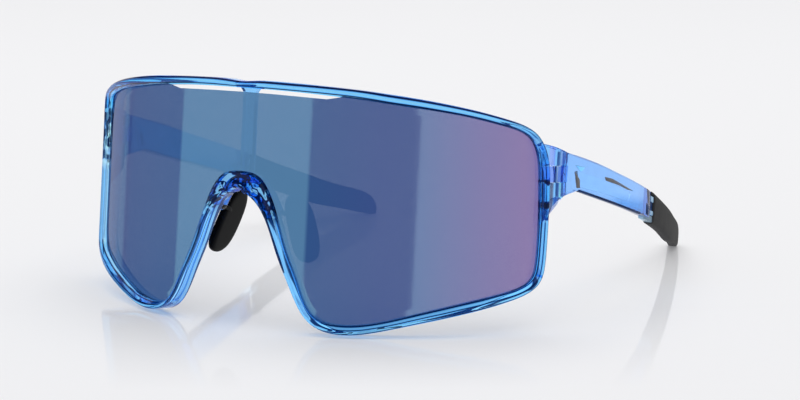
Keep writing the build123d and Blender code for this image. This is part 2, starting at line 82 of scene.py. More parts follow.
RIM_OUTLINE = [
    (0.00, 30.43), (7.58, 30.39), (15.15, 30.24), (22.68, 29.98), (30.14, 29.59),
    (37.51, 29.04), (44.80, 28.29), (51.95, 27.33), (58.80, 26.15), (65.45, 24.70),
    (70.55, 23.11), (73.30, 21.53), (75.15, 19.47), (76.60, 16.45), (77.47, 12.40),
    (77.76, 6.51), (77.78, -0.98), (77.71, -8.00), (77.27, -12.62), (76.50, -14.60),
    (75.00, -16.25), (71.85, -18.10), (66.10, -20.35), (59.75, -22.29),
    (52.84, -24.22), (45.42, -26.14), (38.40, -28.00), (32.62, -29.25),
    (28.46, -29.53), (24.90, -28.98), (22.10, -27.76), (19.90, -25.90),
    (16.95, -21.32), (13.85, -15.48), (11.48, -10.09), (9.17, -4.53),
    (7.15, -1.01), (5.05, 1.20), (2.80, 2.41), (0.00, 2.82),
]


# ------------------------------------------------------------------ curves
def lengths_along(points):
    """Distance along a 2D polyline at each of its points."""
    return np.r_[0, np.cumsum(np.hypot(*np.diff(points, axis=0).T))]


def read_rows(where, marks, rows):
    """Interpolate each column of rows, known at marks, at the places in where."""
    return np.stack([np.interp(where, marks, column) for column in rows.T], 1)


def unit(vectors, guard=0.0):
    """Unit vectors; a small guard keeps zero lengths from dividing by zero."""
    return vectors / (np.linalg.norm(vectors, axis=1)[:, None] + guard)


def left_of(vectors):
    """2D vectors turned a quarter turn anticlockwise."""
    return np.stack([-vectors[:, 1], vectors[:, 0]], 1)


def distance_to(points, across, up):
    return np.hypot(points[:, 0] - across, points[:, 1] - up)


def ease(value, start, end):
    """Smooth step from 0 to 1."""
    part = np.clip((value - start) / (end - start), 0, 1)
    return float(part * part * (3 - 2 * part))


def band(value, rise_start, rise_end, fall_start, fall_end):
    """Smooth step up, then down again."""
    return ease(value, rise_start, rise_end) * (1 - ease(value, fall_start, fall_end))


def spline(points, count, trim=0):
    """Natural cubic spline by chord length, leaving out trim spans at each end."""
    knots = np.array(points, float)
    marks = lengths_along(knots)
    size = len(knots)
    span = np.diff(marks)
    matrix = np.zeros((size, size))
    target = np.zeros((size, 2))
    matrix[0, 0] = matrix[-1, -1] = 1
    for i in range(1, size - 1):
        matrix[i, i - 1:i + 2] = span[i - 1], 2 * (span[i - 1] + span[i]), span[i]
        target[i] = 6 * ((knots[i + 1] - knots[i]) / span[i]
                         - (knots[i] - knots[i - 1]) / span[i - 1])
    bend = np.linalg.solve(matrix, target)
    where = np.linspace(marks[trim], marks[size - 1 - trim], count)
    j = np.clip(np.searchsorted(marks, where) - 1, 0, size - 2)
    past = (where - marks[j])[:, None]
    width = span[j][:, None]
    slope = (knots[j + 1] - knots[j]) / width - width * (2 * bend[j] + bend[j + 1]) / 6
    return (knots[j] + past * slope + past ** 2 * bend[j] / 2
            + past ** 3 * (bend[j + 1] - bend[j]) / (6 * width))


def half_spline(points):
    """Spline of a half outline that runs square to the middle plane at both ends."""
    half = np.array(points, float)
    extra = 4       # mirrored neighbours beyond each end
    head = half[1:extra + 1][::-1] * MIRROR
    tail = half[-extra - 1:-1][::-1] * MIRROR
    return spline(np.vstack([head, half, tail]), 4000, trim=extra)


def smooth_line(points, count=500):
    """Function of y that reads the spline through (y, value) points."""
    curve = spline(points, count)
    curve = curve[np.argsort(curve[:, 0])]
    return lambda y: np.interp(y, curve[:, 0], curve[:, 1])


def straight_line(points):
    """Function of y that reads the polyline through (y, value) points."""
    table = np.array(points, float)
    return lambda y: float(np.interp(y, table[:, 0], table[:, 1]))


def resample(curve, step, turn):
    """A point about every step of length or turn of angle, whichever comes first."""
    tangent = np.gradient(curve, axis=0)
    heading = np.unwrap(np.arctan2(tangent[:, 1], tangent[:, 0]))
    length = np.hypot(*np.diff(curve, axis=0).T)
    cost = np.r_[0, np.cumsum(length / step + np.abs(np.diff(heading)) / turn)]
    count = int(math.ceil(cost[-1])) + 1
    index = np.arange(len(curve))
    return read_rows(np.interp(np.linspace(0, cost[-1], count), cost, index), index, curve)


def outward(half):
    """Unit normals that point out of a half outline, in (s, z)."""
    tangent = np.gradient(half, axis=0)
    tangent[0, 1] = tangent[-1, 1] = 0.0
    return left_of(unit(tangent))


def gap_to(curve, normals, other):
    """Distance from each point of curve along its normal to the other curve."""
    starts = other[:-1]
    sides = other[1:] - starts
    gaps = []
    for point, normal in zip(curve, normals):
        # solve start + part * side = point + distance * normal
        cross = sides[:, 0] * -normal[1] + sides[:, 1] * normal[0]
        offset = point - starts
        cross = np.where(np.abs(cross) < 1e-12, 1e-12, cross)
        part = (offset[:, 0] * -normal[1] + offset[:, 1] * normal[0]) / cross
        distance = (sides[:, 0] * -offset[:, 1] + sides[:, 1] * offset[:, 0]) / cross
        hit = (part >= -1e-6) & (part <= 1 + 1e-6) & (np.abs(distance) < 9)
        gaps.append(np.min(np.abs(distance[hit])) if hit.any() else np.nan)
    gaps = np.array(gaps)
    missed = np.isnan(gaps)
    gaps[missed] = np.interp(np.flatnonzero(missed), np.flatnonzero(~missed), gaps[~missed])
    return gaps


def both_halves(half):
    """A half row (middle to middle) made into a closed loop of both halves."""
    return np.vstack([half, half[1:-1][::-1] * MIRROR])


# ------------------------------------------------------------------ frames and meshes
def turn(vectors):
    """Directions in the lens frame, in the row frame."""
    x, y, z = vectors[..., 0], vectors[..., 1], vectors[..., 2]
    return np.stack([x, y * RAKE_COS + z * RAKE_SIN, -y * RAKE_SIN + z * RAKE_COS], -1)


def place(x, y, z):
    """Lens frame in millimetres to the row frame in metres."""
    x, y, z = np.broadcast_arrays(np.asarray(x, float), y, z)
    return np.stack([x, ORIGIN_Y + y * RAKE_COS + z * RAKE_SIN,
                     ORIGIN_Z - y * RAKE_SIN + z * RAKE_COS], -1) * 0.001


def wrap(s, z, depth):
    """Points at a depth behind the front face of the lens cylinder."""
    angle = np.asarray(s, float) / LENS_RADIUS
    radius = LENS_RADIUS - np.asarray(depth, float)
    return place(radius * np.sin(angle), LENS_RADIUS - radius * np.cos(angle), z)


def link_object(name, mesh, material):
    ob = bpy.data.objects.new(name, mesh)
    bpy.context.scene.collection.objects.link(ob)
    mesh.materials.append(material)
    return ob


def new_mesh(name, verts, faces):
    mesh = bpy.data.meshes.new(name)
    mesh.from_pydata([tuple(v) for v in verts], [], faces)
    mesh.validate()
    mesh.update()
    return mesh


def loft(name, rings, material, sharp, closed=False):
    """Skin over rings of (x, y, z) in metres, capped unless the row is closed.
    Edges above sharp degrees stay hard."""
    size = len(rings[0])
    count = len(rings)
    faces = []
    for i in range(count if closed else count - 1):
        here, there = i * size, ((i + 1) % count) * size
        for j in range(size):
            k = (j + 1) % size
            faces.append((here + j, here + k, there + k, there + j))
    if not closed:
        faces.append(tuple(range(size))[::-1])
        faces.append(tuple(range((count - 1) * size, count * size)))
    mesh = new_mesh(name, np.vstack(rings), faces)
    mesh.shade_smooth()
    mesh.set_sharp_from_angle(angle=math.radians(sharp))
    bm = bmesh.new()
    bm.from_mesh(mesh)
    bmesh.ops.recalc_face_normals(bm, faces=bm.faces)
    bm.to_mesh(mesh)
    bm.free()
    return link_object(name, mesh, material)


def set_marks(ob, marks):
    """Store named numbers on the points."""
    for name, values in marks.items():
        attribute = ob.data.attributes.new(name, "FLOAT", "POINT")
        attribute.data.foreach_set("value", np.asarray(values, dtype=np.float32))


def arc(centre_x, centre_y, radius, start, end, steps):
    """Points on an arc between two angles in degrees."""
    return [(centre_x + radius * math.cos(angle), centre_y + radius * math.sin(angle))
            for angle in np.radians(np.linspace(start, end, steps + 1))]


def squircle(count, power):
    """Closed ring of (x, y) on a unit superellipse."""
    angles = 2 * np.pi * (np.arange(count) + 0.5) / count
    ring = np.stack([np.cos(angles), np.sin(angles)], 1)
    return np.copysign(np.abs(ring) ** (2 / power), ring)


# ------------------------------------------------------------------ node helper
NOISE_SPAN = (0.3, 0.7)     # the range that most of a noise texture falls in


class Nodes:
    """Short calls for building a node tree. Inputs may be values, sockets or nodes."""

    def __init__(self, tree):
        self.tree = tree
        tree.nodes.clear()

    def put(self, socket, value):
        if isinstance(value, bpy.types.Node):
            value = value.outputs[0]
        if isinstance(value, bpy.types.NodeSocket):
            self.tree.links.new(value, socket)
        elif socket.type == "RGBA" and len(value) == 3:
            socket.default_value = (*value, 1)
        else:
            socket.default_value = value

    def add(self, kind, *inputs, **named):
        """New node; inputs go by position or by name with _ for a space."""
        node = self.tree.nodes.new("ShaderNode" + kind)
        for i, value in enumerate(inputs):
            self.put(node.inputs[i], value)
        for name, value in named.items():
            self.put(node.inputs[name.replace("_", " ")], value)
        return node

    def math(self, operation, first, second=0.0, third=0.0):
        node = self.add("Math", first, second, third)
        node.operation = operation
        return node.outputs[0]

    def plus(self, first, second):
        return self.math("ADD", first, second)

    def minus(self, first, second):
        return self.math("SUBTRACT", first, second)

    def times(self, first, second):
        return self.math("MULTIPLY", first, second)

    def ramp(self, value, *bands, span=(0.0, 1.0)):
        """Colour ramp; a band is its stop places, measured on span, then its colour."""
        node = self.add("ValToRGB", value)
        stops = [(place, entry[-1]) for entry in bands for place in entry[:-1]]
        elements = node.color_ramp.elements
        while len(elements) < len(stops):
            elements.new(0.5)
        for element, (place, color) in zip(elements, stops):
            element.position = (place - span[0]) / (span[1] - span[0])
            element.color = (*color, 1)
        return node.outputs[0]

    def mix(self, factor, first, second, blend="MIX"):
        node = self.add("Mix")
        node.data_type = "RGBA"
        node.blend_type = blend
        for i, value in ((0, factor), (6, first), (7, second)):
            self.put(node.inputs[i], value)
        return node.outputs[2]

    def multiply(self, first, second):
        return self.mix(1.0, first, second, "MULTIPLY")

    def noise(self, coords, scale, detail, rough):
        return self.add("TexNoise", Scale=scale, Detail=detail, Roughness=rough,
                        Vector=coords).outputs[0]

    def bump(self, height, strength, distance):
        return self.add("Bump", Strength=strength, Distance=distance, Height=height)

    def coords(self):
        return self.add("TexCoord").outputs["Object"]

    def split(self, vector):
        return self.add("SeparateXYZ", vector).outputs

    def remap(self, value, source, target=(0.0, 1.0), clamp=True):
        node = self.add("MapRange", value, *source, *target)
        node.clamp = clamp
        return node.outputs[0]

    def mark(self, name):
        """Number stored on the points of the mesh."""
        node = self.add("Attribute")
        node.attribute_name = name
        return node.outputs["Fac"]

    def glossy(self, color, roughness):
        return self.add("BsdfAnisotropic", Color=color, Roughness=roughness)

    def clear(self, color):
        return self.add("BsdfTransparent", Color=color)


def new_material(name):
    material = bpy.data.materials.new(name)
    material.use_nodes = True
    return material, Nodes(material.node_tree)


def scaled(color, factor):
    return tuple(min(1.0, value * factor) for value in color)


def lens_frame(nodes, coords):
    """Distance back and height in the lens frame, in millimetres."""
    _, y, z = nodes.split(coords)
    y = nodes.minus(nodes.times(y, 1000.0), ORIGIN_Y)
    z = nodes.minus(nodes.times(z, 1000.0), ORIGIN_Z)
    back = nodes.minus(nodes.times(y, RAKE_COS), nodes.times(z, RAKE_SIN))
    up = nodes.plus(nodes.times(y, RAKE_SIN), nodes.times(z, RAKE_COS))
    return back, up


# ------------------------------------------------------------------ clear plastics
NAVY = (0.0, 0.0025, 0.030)
DEEP = (0.002, 0.06, 0.36)
BODY = (0.28, 0.62, 1.0)
LIGHT = (0.60, 0.90, 1.0)
PALE = (0.82, 0.98, 1.0)
MINT = (0.42, 0.98, 1.0)
VIOLET = (0.24, 0.37, 0.95)
LILAC = (0.42, 0.52, 0.95)
GREY = (0.16, 0.18, 0.26)
BLACK = (0.0, 0.0, 0.0015)


def crystal(name, tint, absorption, density, shadow, ior, glow=None, paint=None, fill=None):
    """Translucent moulded plastic: it bends light, darkens with depth and lets a
    tinted part through as shadow. Glow adds a painted glow, paint recolours the
    base with painted light and shade, and fill recolours the glow."""
    material, nodes = new_material(name)
    coords = nodes.coords()
    flow = nodes.noise(coords, scale=420.0, detail=4.0, rough=0.55)
    fine = nodes.noise(coords, scale=2600.0, detail=2.0, rough=0.5)
    roughness = nodes.remap(flow, (0.35, 0.7), (0.012, 0.036))
    base = nodes.mix(nodes.remap(flow, NOISE_SPAN), scaled(tint, 0.96), scaled(tint, 1.03))
    if paint:
        base = paint(nodes, coords, base)
    plastic = nodes.add("BsdfPrincipled", Base_Color=base, Roughness=roughness, IOR=ior,
                        Transmission_Weight=1.0,
                        Normal=nodes.bump(fine, strength=0.05, distance=0.00002))
    if glow:
        nodes.put(plastic.inputs["Emission Color"], glow)
        nodes.put(plastic.inputs["Emission Strength"], 1.0)
    if fill:
        nodes.put(plastic.inputs["Emission Color"], fill(nodes, glow))
    is_shadow = nodes.add("LightPath").outputs["Is Shadow Ray"]
    nodes.add("OutputMaterial",
              Surface=nodes.add("MixShader", is_shadow, plastic, nodes.clear(shadow)),
              Volume=nodes.add("VolumeAbsorption", Color=absorption, Density=density))
    return material


def front_mask(nodes):
    """1 on the front of the rim section, 0 behind it."""
    return nodes.remap(nodes.mark("deep"), (0.1, 0.6), (1.0, 0.0))


def painted_rim_lines(nodes, place_across):
    """Painted light and shade: bands along the moulding, a pale painted highlight at the lip,
    painted dark lines and bright painted bands.
    """
    side = nodes.ramp(place_across, (0.0, 0.07, PALE), (0.10, 0.15, NAVY), (0.18, BODY),
                      (0.28, LIGHT), (0.40, BODY), (0.44, 0.49, NAVY), (0.53, BODY),
                      (0.64, 0.80, LIGHT), (0.84, BODY), (0.87, 0.92, NAVY), (0.96, 1.0, BODY))
    top_bar = nodes.ramp(place_across, (0.0, 0.13, LIGHT), (0.17, 0.25, NAVY), (0.29, BODY),
                         (0.40, 0.60, LIGHT), (0.70, BODY), (0.76, 0.90, NAVY), (0.95, DEEP),
                         (1.0, BODY))
    # the outer wall of the section has its own, finer painted light and shade lines
    wall = nodes.ramp(nodes.remap(nodes.mark("deep"), (-1.4, 0.6)),
                      (0.0, 0.06, NAVY), (0.12, BODY), (0.30, LIGHT), (0.44, BODY),
                      (0.49, 0.55, NAVY), (0.61, LIGHT), (0.80, 1.0, BODY))
    side = nodes.mix(nodes.remap(nodes.mark("across"), (0.975, 0.99)), side, wall)
    lines = nodes.mix(nodes.mark("bar"), side, top_bar)
    # squared, because this face alone carries the lines
    return nodes.multiply(lines, lines)


def rim_shade_glint_patches(nodes, x, facing, base):
    """Painted shade and highlights: dark patches with bright gaps."""
    far = nodes.remap(nodes.math("ABSOLUTE", x), (0.050, 0.055))
    # the pattern is shorter across and longer along towards the ends
    along_scale = nodes.remap(far, (0.0, 1.0), (0.17, 0.11))
    across_scale = nodes.remap(far, (0.0, 1.0), (1.7, 2.6))
    run = nodes.add("CombineXYZ", nodes.times(nodes.mark("run"), along_scale),
                    nodes.times(nodes.mark("across"), across_scale),
                    nodes.times(nodes.mark("deep"), 0.12))
    cells = nodes.noise(run, scale=1.0, detail=2.2, rough=0.6)
    # dark painted shade patches with bright painted highlights between them
    knots = nodes.ramp(cells, (0.0, NAVY), (0.36, 0.425, BLACK), (0.435, MINT), (0.462, LIGHT),
                       (0.475, BODY), (0.49, NAVY), (0.498, 0.555, BLACK), (0.562, DEEP),
                       (0.58, BODY), (0.605, 1.0, LIGHT))
    return nodes.mix(facing, nodes.mix(0.5, base, DEEP), knots)


def paint_rim_light(nodes, coords, base):
    """Painted light and shade: lines, dark patches with highlights and two dark bars, placed by the
    marks on the rim's points; the tone mark deepens the blue at one upper corner.
    """
    drift = nodes.remap(nodes.noise(coords, scale=45.0, detail=2.0, rough=0.5), NOISE_SPAN,
                        (-0.05, 0.05), clamp=False)
    place_across = nodes.plus(nodes.mark("across"), drift)
    lines = painted_rim_lines(nodes, place_across)
    facing = front_mask(nodes)
    # painted light and shade lines on the front of the section
    color = nodes.mix(nodes.times(facing, nodes.mark("painted_light_lines")), base, lines)
    x = nodes.split(coords)[0]
    # painted shade patches with highlights, at the nose and the two ends
    color = nodes.mix(nodes.mark("shade_glint_patches"), color, rim_shade_glint_patches(nodes, x, facing, base))
    deeper = nodes.multiply(color, (0.30, 0.72, 1.0))
    color = nodes.mix(nodes.mark("tone"), color, deeper)
    # two painted dark bars of shade, level and with wavy edges, at the wearer's left end
    wave = nodes.remap(nodes.noise(coords, scale=700.0, detail=1.0, rough=0.5), NOISE_SPAN,
                       (-0.35, 0.35))
    wavy_up = nodes.plus(lens_frame(nodes, coords)[1], wave)
    for height, half in ((9.75, 0.38), (4.2, 0.62)):
        off = nodes.math("ABSOLUTE", nodes.minus(wavy_up, height))
        dark = nodes.times(nodes.remap(off, (half, half + 0.15), (1.0, 0.0)),
                           nodes.remap(x, (0.0575, 0.0580)))
        dark = nodes.times(dark, nodes.remap(place_across, (0.2, 0.3)))
        color = nodes.mix(dark, color, BLACK)
    return color


def rim_fill(nodes, glow):
    """Painted glow for light gathered inside the upright of the nose notch on the wearer's right.
    """
    glow_body = (0.03, 0.12, 0.32)
    lit = nodes.ramp(nodes.mark("across"), (0.0, 0.15, (0.0, 0.006, 0.03)),
                     (0.19, (0.03, 0.12, 0.34)), (0.33, (0.04, 0.15, 0.40)),
                     (0.39, 0.46, (0.0, 0.02, 0.10)), (0.52, 0.80, glow_body),
                     (0.86, 0.93, (0.0, 0.01, 0.05)), (0.97, 1.0, glow_body))
    return nodes.mix(nodes.times(front_mask(nodes), nodes.mark("lit")), glow, lit)


def painted_hinge_light(nodes, coords, base):
    """Painted light and shade: upright bars of highlight and shade in the hinge, in three tiers;
    stops are millimetres back.
    """
    back, up = lens_frame(nodes, coords)
    span = (30.0, 42.0)
    along = nodes.remap(back, span)
    high = nodes.ramp(along, (30, LIGHT), (33.2, BODY), (33.6, 34.4, LILAC), (34.8, VIOLET),
                      (35.1, 37.0, BODY), (37.3, LILAC), (38.0, BODY), (38.3, 39.5, MINT),
                      (39.7, 40.3, DEEP), (40.6, BODY), span=span)
    middle = nodes.ramp(along, (30, LILAC), (31.2, GREY), (31.8, 33.0, LILAC),
                        (33.3, 38.4, VIOLET), (38.7, LILAC), (39.5, BODY), (39.9, GREY),
                        (40.3, BODY), span=span)
    low = nodes.ramp(along, (30, BODY), (33.6, LIGHT), (34.2, 34.8, GREY), (35.2, 37.0, BODY),
                     (37.4, 39.3, MINT), (39.6, LILAC), (40.3, BODY), span=span)
    color = nodes.mix(nodes.remap(up, (9.6, 9.8)), low, middle)
    color = nodes.mix(nodes.remap(up, (13.5, 13.7)), color, high)
    cloud = nodes.noise(coords, scale=500.0, detail=2.0, rough=0.5)
    color = nodes.mix(nodes.remap(cloud, (0.4, 0.7), (0.0, 0.2)), color, base)
    # faces square to x carry the painted light and shade bars, squared; other and rear-seen faces
    # are pale
    geometry = nodes.add("NewGeometry")
    color = nodes.multiply(color, color)
    normal_x = nodes.split(geometry.outputs["Normal"])[0]
    sideways = nodes.math("GREATER_THAN", nodes.math("ABSOLUTE", normal_x), 0.6)
    barred = nodes.times(sideways, nodes.minus(1.0, geometry.outputs["Backfacing"]))
    return nodes.mix(barred, (0.80, 0.90, 1.0), color)


def temple_tone_and_shade_lines(nodes, coords, base):
    """Even body, deeper blue in the low rear part and navy behind 91 mm, with a painted
    dark shade line along the lower edge and a painted grey shade line along the top."""
    back, up = lens_frame(nodes, coords)

    def above(start, end, soft):
        """1 above the line between two (y, z) points, 0 below it."""
        length = math.dist(start, end)
        across = -(end[1] - start[1]) / length
        along = (end[0] - start[0]) / length
        offset = -(across * start[0] + along * start[1])
        height = nodes.plus(nodes.times(back, across),
                            nodes.math("MULTIPLY_ADD", up, along, offset))
        return nodes.remap(height, (-soft, soft))

    low_part = nodes.minus(1.0, above((62.0, 5.6), (91.0, 3.0), soft=1.2))
    rearward = nodes.remap(back, (63.0, 73.0))
    color = nodes.mix(nodes.times(low_part, rearward), base, (0.04, 0.31, 0.80))
    color = nodes.mix(nodes.remap(back, (90.9, 91.1)), color, (0.03, 0.12, 0.55))
    # painted shade: a dark line along the lower edge, then a grey one along the top
    lower_edge = nodes.minus(1.0, above((47.0, 7.70), (88.0, -0.25), soft=0.12))
    color = nodes.mix(nodes.times(lower_edge, nodes.remap(back, (46.5, 47.5))), color, NAVY)
    top_edge = above((40.0, 16.75), (60.0, 13.05), soft=0.12)
    fade = nodes.remap(back, (58.0, 62.0), (1.0, 0.0))
    return nodes.mix(nodes.times(top_edge, fade), color, (0.20, 0.26, 0.50))


BLUE_ABSORPTION = (0.05, 0.75, 0.985)
FRAME_LOOK = dict(tint=BODY, absorption=BLUE_ABSORPTION, density=60.0,
                  shadow=(0.62, 0.80, 0.98), glow=(0.0, 0.006, 0.03))
FRAME = crystal("frame_crystal", ior=1.25, **FRAME_LOOK)
RIM = crystal("rim_crystal", ior=1.22, paint=paint_rim_light, fill=rim_fill, **FRAME_LOOK)
HINGE = crystal("hinge_crystal", tint=(0.36, 0.62, 1.0), absorption=BLUE_ABSORPTION,
                density=30.0, shadow=(0.66, 0.82, 0.98), ior=1.22, glow=(0.0, 0.008, 0.04),
                paint=painted_hinge_light)
TEMPLE = crystal("temple_crystal", tint=(0.27, 0.54, 0.98), absorption=BLUE_ABSORPTION,
                 density=30.0, shadow=(0.66, 0.82, 0.98), ior=1.35, glow=(0.0, 0.012, 0.06),
                 paint=temple_tone_and_shade_lines)
# the strap's blue crystal is darkened well past the frame's by painted shade of the dark pads and
# surroundings seen through it
HOLDER = crystal("holder_crystal", tint=(0.05, 0.24, 0.80), absorption=(0.02, 0.50, 0.86),
                 density=120.0, shadow=(0.50, 0.66, 0.90), ior=1.2)
CLEAR = crystal("tang_clear", tint=(0.80, 0.93, 1.0), absorption=(0.4, 0.8, 0.98),
                density=20.0, shadow=(0.8, 0.9, 0.98), ior=1.06, glow=(0.13, 0.19, 0.25))
GLINT = crystal("recess_glint", tint=(0.72, 0.97, 1.0), absorption=(0.3, 0.9, 0.98),
                density=20.0, shadow=(0.8, 0.9, 0.98), ior=1.12, glow=(0.03, 0.07, 0.08))
INLAY = crystal("inlay_clear", tint=(0.95, 1.0, 1.0), absorption=(0.4, 0.8, 0.98),
                density=20.0, shadow=(0.7, 0.85, 0.98), ior=1.3, glow=(0.01, 0.02, 0.03))


# ------------------------------------------------------------------ other materials
def lens_material():
    """Mirror coat whose hue drifts along the lens, over a lightly tinted body."""
    material, nodes = new_material("lens_mirror")
    coords = nodes.coords()
    x, y, z = nodes.split(coords)
    # angle round the axis: 0 at the wearer's right end, 1 at the left
    angle = nodes.math("DIVIDE", nodes.math("ARCTAN2", x, nodes.minus(AXIS_Y, y)), 0.92)
    coat = nodes.ramp(
        nodes.remap(angle, (-1.0, 1.0)),
        (0.00, (0.200, 0.245, 0.335)),
        (0.10, (0.172, 0.208, 0.332)),
        (0.15, (0.145, 0.198, 0.332)),
        (0.17, (0.090, 0.182, 0.340)),
        (0.34, 0.62, (0.077, 0.196, 0.358)),
        (0.74, (0.100, 0.176, 0.358)),
        (0.79, (0.105, 0.177, 0.358)),
        (0.90, (0.175, 0.157, 0.350)),
        (0.97, (0.212, 0.150, 0.345)),
        (1.00, (0.170, 0.130, 0.350)))
    drift = nodes.noise(coords, scale=26.0, detail=2.0, rough=0.4)
    coat = nodes.mix(nodes.remap(drift, NOISE_SPAN, (0.0, 0.06)), coat, (0.16, 0.17, 0.36))
    wipe = nodes.noise(coords, scale=900.0, detail=5.0, rough=0.6)
    mirror = nodes.glossy(coat, nodes.remap(wipe, (0.4, 0.75), (0.004, 0.022)))
    through = nodes.clear((0.052, 0.055, 0.062))
    front = nodes.add("AddShader", mirror, through)
    # the inner face is a plain smoke-blue tint
    inner_shine = nodes.glossy((0.030, 0.034, 0.046),
                               nodes.remap(drift, NOISE_SPAN, (0.045, 0.06)))
    inner = nodes.add("AddShader", inner_shine, nodes.clear((0.98, 0.985, 1.0)))
    # the coated face is the outermost part of the shell, measured from the raked axis
    from_axis = nodes.minus(nodes.times(nodes.minus(y, AXIS_Y), RAKE_COS),
                            nodes.times(nodes.minus(z, ORIGIN_Z * 0.001), RAKE_SIN))
    radius = nodes.math("SQRT", nodes.plus(nodes.times(x, x), nodes.times(from_axis, from_axis)))
    is_front = nodes.math("GREATER_THAN", radius, (LENS_RADIUS - LENS_THICK * 0.5) * 0.001)
    # the coat shows only weakly through the tinted body
    dull = nodes.glossy((0.018, 0.026, 0.045), nodes.remap(drift, NOISE_SPAN, (0.05, 0.07)))
    under = nodes.add("AddShader", dull, through)
    from_behind = nodes.add("NewGeometry").outputs["Backfacing"]
    coated = nodes.add("MixShader", from_behind, front, under)
    nodes.add("OutputMaterial", Surface=nodes.add("MixShader", is_front, inner, coated))
    return material


def rubber(name, color, roughness, specular):
    """Matt grained rubber."""
    material, nodes = new_material(name)
    coords = nodes.coords()
    cloud = nodes.noise(coords, scale=160.0, detail=4.0, rough=0.6)
    grain = nodes.noise(coords, scale=5200.0, detail=3.0, rough=0.6)
    base = nodes.mix(nodes.remap(cloud, NOISE_SPAN), scaled(color, 0.86), scaled(color, 1.15))
    surface = nodes.add(
        "BsdfPrincipled", Base_Color=base,
        Roughness=nodes.remap(grain, NOISE_SPAN, (roughness - 0.07, roughness + 0.09)),
        Sheen_Weight=0.0, Sheen_Roughness=0.4, Specular_IOR_Level=specular,
        Normal=nodes.bump(grain, strength=0.25, distance=0.00003))
    nodes.add("OutputMaterial", Surface=surface)
    return material


def pin_material():
    """Drawn steel with fine streaks, stretched along z."""
    material, nodes = new_material("pin_steel")
    color = (0.78, 0.92, 0.97)
    stretched = nodes.add("Mapping", Scale=(4000, 4000, 300), Vector=nodes.coords())
    streaks = nodes.noise(stretched, scale=1.0, detail=2.0, rough=0.5)
    surface = nodes.add("BsdfPrincipled", Base_Color=nodes.mix(streaks, scaled(color, 0.8), color),
                        Metallic=1.0, Roughness=nodes.remap(streaks, NOISE_SPAN, (0.294, 0.588)))
    nodes.add("OutputMaterial", Surface=surface)
    return material


def satin(name, color, roughness, specular=0.2):
    """Satin face that shows only on sides turned away from the middle plane."""
    material, nodes = new_material(name)
    coords = nodes.coords()
    grain = nodes.noise(coords, scale=1500.0, detail=3.0, rough=0.5)
    wave = nodes.noise(coords, scale=180.0, detail=2.0, rough=0.5)
    base = nodes.mix(nodes.remap(wave, (0.35, 0.65)), scaled(color, 0.75), scaled(color, 1.2))
    surface = nodes.add(
        "BsdfPrincipled", Base_Color=base,
        Roughness=nodes.remap(grain, NOISE_SPAN, (roughness * 0.8, roughness * 1.2)),
        Specular_IOR_Level=specular, Normal=nodes.bump(grain, strength=0.1, distance=0.00002))
    geometry = nodes.add("NewGeometry")
    x = nodes.split(geometry.outputs["Position"])[0]
    normal_x = nodes.split(geometry.outputs["Normal"])[0]
    inward = nodes.math("LESS_THAN", nodes.times(x, normal_x), 0.0)
    nodes.add("OutputMaterial",
              Surface=nodes.add("MixShader", inward, surface, nodes.clear((1, 1, 1))))
    return material


LENS = lens_material()
TIP_RUBBER = rubber("tip_rubber", (0.042, 0.042, 0.043), roughness=0.68, specular=0.08)
PAD_RUBBER = rubber("pad_rubber", (0.0030, 0.0034, 0.0045), roughness=0.5, specular=0.05)
STEEL = pin_material()
# grey satin for painted shade on the walls of the recess
RECESS_SHADE = satin("recess_shade_grey", (0.125, 0.125, 0.14), roughness=0.35)
# grey lilac satin for painted shade at the upper end of the temple
END_SHADE_LILAC = satin("end_shade_lilac", (0.13, 0.14, 0.19), roughness=0.30, specular=0.08)
WINDOW_BLUE = satin("window_blue", (0.022, 0.060, 0.19), roughness=0.30, specular=0.06)
# navy satin for painted shade along the temple's lower edge and end
EDGE_SHADE_NAVY = satin("edge_shade_navy", (0.002, 0.030, 0.13), roughness=0.30, specular=0.03)
WINDOW_ICE = satin("window_ice", (0.36, 0.62, 1.0), roughness=0.25)

# ------------------------------------------------------------------ rim
GROOVE_DEPTH = 0.56         # how far the lens groove cuts out into the rim
VENT_GROOVE = 0.02          # the same over the free edge of the lens

window = resample(half_spline(WINDOW), step=1.6, turn=0.16)
window[0, 0] = window[-1, 0] = 0.0
window_out = outward(window)


def rim_widths():
    """Rim width at each window point."""
    outline = half_spline(RIM_OUTLINE)
    across_middle = np.vstack([outline[5::-1] * MIRROR, outline, outline[:-6:-1] * MIRROR])
    widths = gap_to(window, window_out, across_middle)
    # light smoothing keeps the outer edge free of ripples
    for _ in range(6):
        padded = np.r_[widths[1], widths, widths[-2]]
        widths = 0.25 * padded[:-2] + 0.5 * padded[1:-1] + 0.25 * padded[2:]
    return np.r_[widths, widths[1:-1][::-1]]


def rim_section(width, groove):
    """Closed section: (distance out from the window edge, depth)."""
    front_round = min(0.62, width * 0.32)
    back_round = min(0.55, width * 0.3)
    crown_x, crown_depth = width - front_round, -RIM_PROUD + 0.05
    points = [(0.0, -0.42), (0.07, -0.60), (0.22, -0.74)]
    # convex front face up to the crown
    for part in (0.16, 0.34, 0.52, 0.68, 0.84, 1.0):
        rise = math.sin(part * math.pi / 2) ** 0.9
        points.append((0.22 + (crown_x - 0.22) * part, -0.74 + (crown_depth + 0.74) * rise))
    points += [(crown_x + front_round * math.sin(angle),
                crown_depth + front_round * (1 - math.cos(angle)))
               for angle in np.radians((22, 45, 67, 90))]
    points += [(width, 0.6)]
    points += arc(width - back_round, RIM_BACK - back_round, back_round, 0, 90, 4)
    points += [(0.32 + (width - back_round - 0.32) * 0.5, RIM_BACK)]
    points += arc(0.32, RIM_BACK - 0.32, 0.32, 90, 180, 3)
    points += [(0.0, LENS_SEAT), (groove, LENS_SEAT), (groove, -0.05), (0.0, -0.05)]
    return np.array(points)


